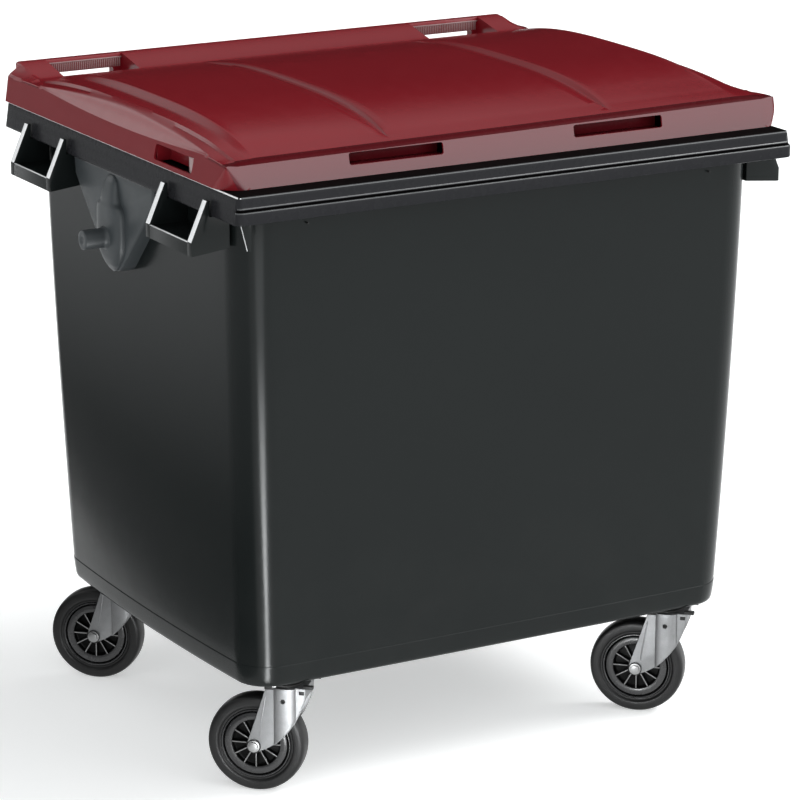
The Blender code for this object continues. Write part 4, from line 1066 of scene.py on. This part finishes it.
# the dome: bright in front, dim behind and overhead, with a dark quarter behind the object and softboxes set into it
front = ramp(wt, sep.outputs[1], -0.35, 0.25, 1.25, 0.42)
level = math_node(wt, "MULTIPLY", front, ramp(wt, sep.outputs[2], -0.12, 0.04, 0.55, 1.0))
level = math_node(wt, "MULTIPLY", level, ramp(wt, sep.outputs[2], 0.68, 0.90, 1.0, 0.22))
dark = lobe((0.50, 0.83, 0.10), 30, 46)
low = ramp(wt, sep.outputs[2], 0.40, 0.60, 1.0, 0.0)
level = math_node(wt, "MULTIPLY", level, math_node(wt, "SUBTRACT", 1.0, math_node(wt, "MULTIPLY", math_node(wt, "MULTIPLY", dark, low), 0.975)))
for d, i, o, v in (((-0.26, 0.83, 0.46), 8, 20, 0.40), ((-0.47, 0.83, 0.30), 8, 17, 1.15), ((0.48, -0.86, 0.12), 14, 32, 2.3), ((0.9, -0.2, 0.35), 15, 50, 0.9), ((-0.85, -0.5, 0.25), 10, 40, 0.5)):
    level = math_node(wt, "ADD", level, math_node(wt, "MULTIPLY", lobe(d, i, o), v))
level = math_node(wt, "MAXIMUM", level, 0.012)
wt.links.new(level, bg.inputs["Strength"])
bg.inputs["Color"].default_value = (0.985, 0.995, 1.0, 1.0)


def card(name, corners, strength, low_strength=None, z0=0.0, z1=1.0):
    """Studio card seen only in reflections: a flag or a strip light beside the camera."""
    bm = bmesh.new()
    vs = [bm.verts.new((x * 1000, y * 1000, z * 1000)) for x, y, z in corners]
    bm.faces.new(vs)
    ob = obj_from(name, bm, False)
    m = bpy.data.materials.new(name)
    m.use_nodes = True
    nt = m.node_tree
    nt.nodes.remove(nt.nodes["Principled BSDF"])
    em = nt.nodes.new("ShaderNodeEmission")
    nt.links.new(em.outputs[0], nt.nodes["Material Output"].inputs["Surface"])
    em.inputs["Color"].default_value = (0.97, 0.99, 1.0, 1.0)
    em.inputs["Strength"].default_value = strength
    if low_strength is not None:
        tcn = nt.nodes.new("ShaderNodeTexCoord").outputs["Object"]
        sp = nt.nodes.new("ShaderNodeSeparateXYZ")
        nt.links.new(tcn, sp.inputs[0])
        nt.links.new(ramp(nt, sp.outputs[2], z0, z1, low_strength, strength), em.inputs["Strength"])
    ob.data.materials.append(m)
    ob.visible_camera = False
    ob.visible_diffuse = False
    ob.visible_shadow = False
    ob.visible_transmission = False
    ob.visible_volume_scatter = False
    return ob


# flag beside the left wall, and a thin strip light standing in front of the front left corner
card("left_flag", [(-0.93, -0.75, 0.0), (-0.93, 4.5, 0.0), (-0.93, 4.5, 1.17), (-0.93, -0.75, 1.17)], 0.92, 0.14, 0.35, 0.95)
px, py = -0.575 - 0.375 * 0.88, -0.52 - 0.885 * 0.88
card("corner_strip", [(px - 0.055, py + 0.032, 0.0), (px + 0.055, py - 0.032, 0.0), (px + 0.190, py - 0.110, 0.93), (px - 0.190, py + 0.110, 0.93)], 3.9, 50.0, 0.04, 0.60)
qx, qy = -0.575 - 0.375 * 0.24, -0.52 - 0.885 * 0.24
card("corner_strip_foot", [(qx - 0.040, qy + 0.020, 0.004), (qx + 0.040, qy - 0.020, 0.004), (px + 0.055, py - 0.032, 0.004), (px - 0.055, py + 0.032, 0.004)], 6.0, 38.0, 0.04, 0.60)

sun = bpy.data.objects.new("soft_key", bpy.data.lights.new("soft_key", "SUN"))
sun.data.energy = 1.5
sun.data.angle = math.radians(26)
sun.rotation_euler = (math.radians(14), math.radians(44), 0)
bpy.context.scene.collection.objects.link(sun)

cam = bpy.data.objects.new("camera", bpy.data.cameras.new("camera"))
bpy.context.scene.collection.objects.link(cam)
yaw, pitch, roll = 0.5199630683899232, 0.28012765606014994, 0.0020011675586090534
fwd = Vector((math.sin(yaw) * math.cos(pitch), math.cos(yaw) * math.cos(pitch), -math.sin(pitch)))
rgt = Vector((math.cos(yaw), -math.sin(yaw), 0.0))
up = rgt.cross(fwd)
r2 = rgt * math.cos(roll) + up * math.sin(roll)
u2 = -rgt * math.sin(roll) + up * math.cos(roll)
rot = Matrix((r2, u2, -fwd)).transposed()
cam.matrix_world = Matrix.Translation((-3.689588, -6.450454 + DY * MM, 2.784699)) @ rot.to_4x4()
cam.data.sensor_width = 36.0
cam.data.lens = 3691.7022243 / 800.0 * 36.0
cam.data.shift_x = (400.0 - 391.92827) / 800.0
cam.data.shift_y = (402.83947 - 400.0) / 800.0
cam.data.clip_end = 200.0
bpy.context.scene.camera = cam
bpy.context.scene.view_settings.view_transform = "Standard"
bpy.context.scene.view_settings.look = "None"
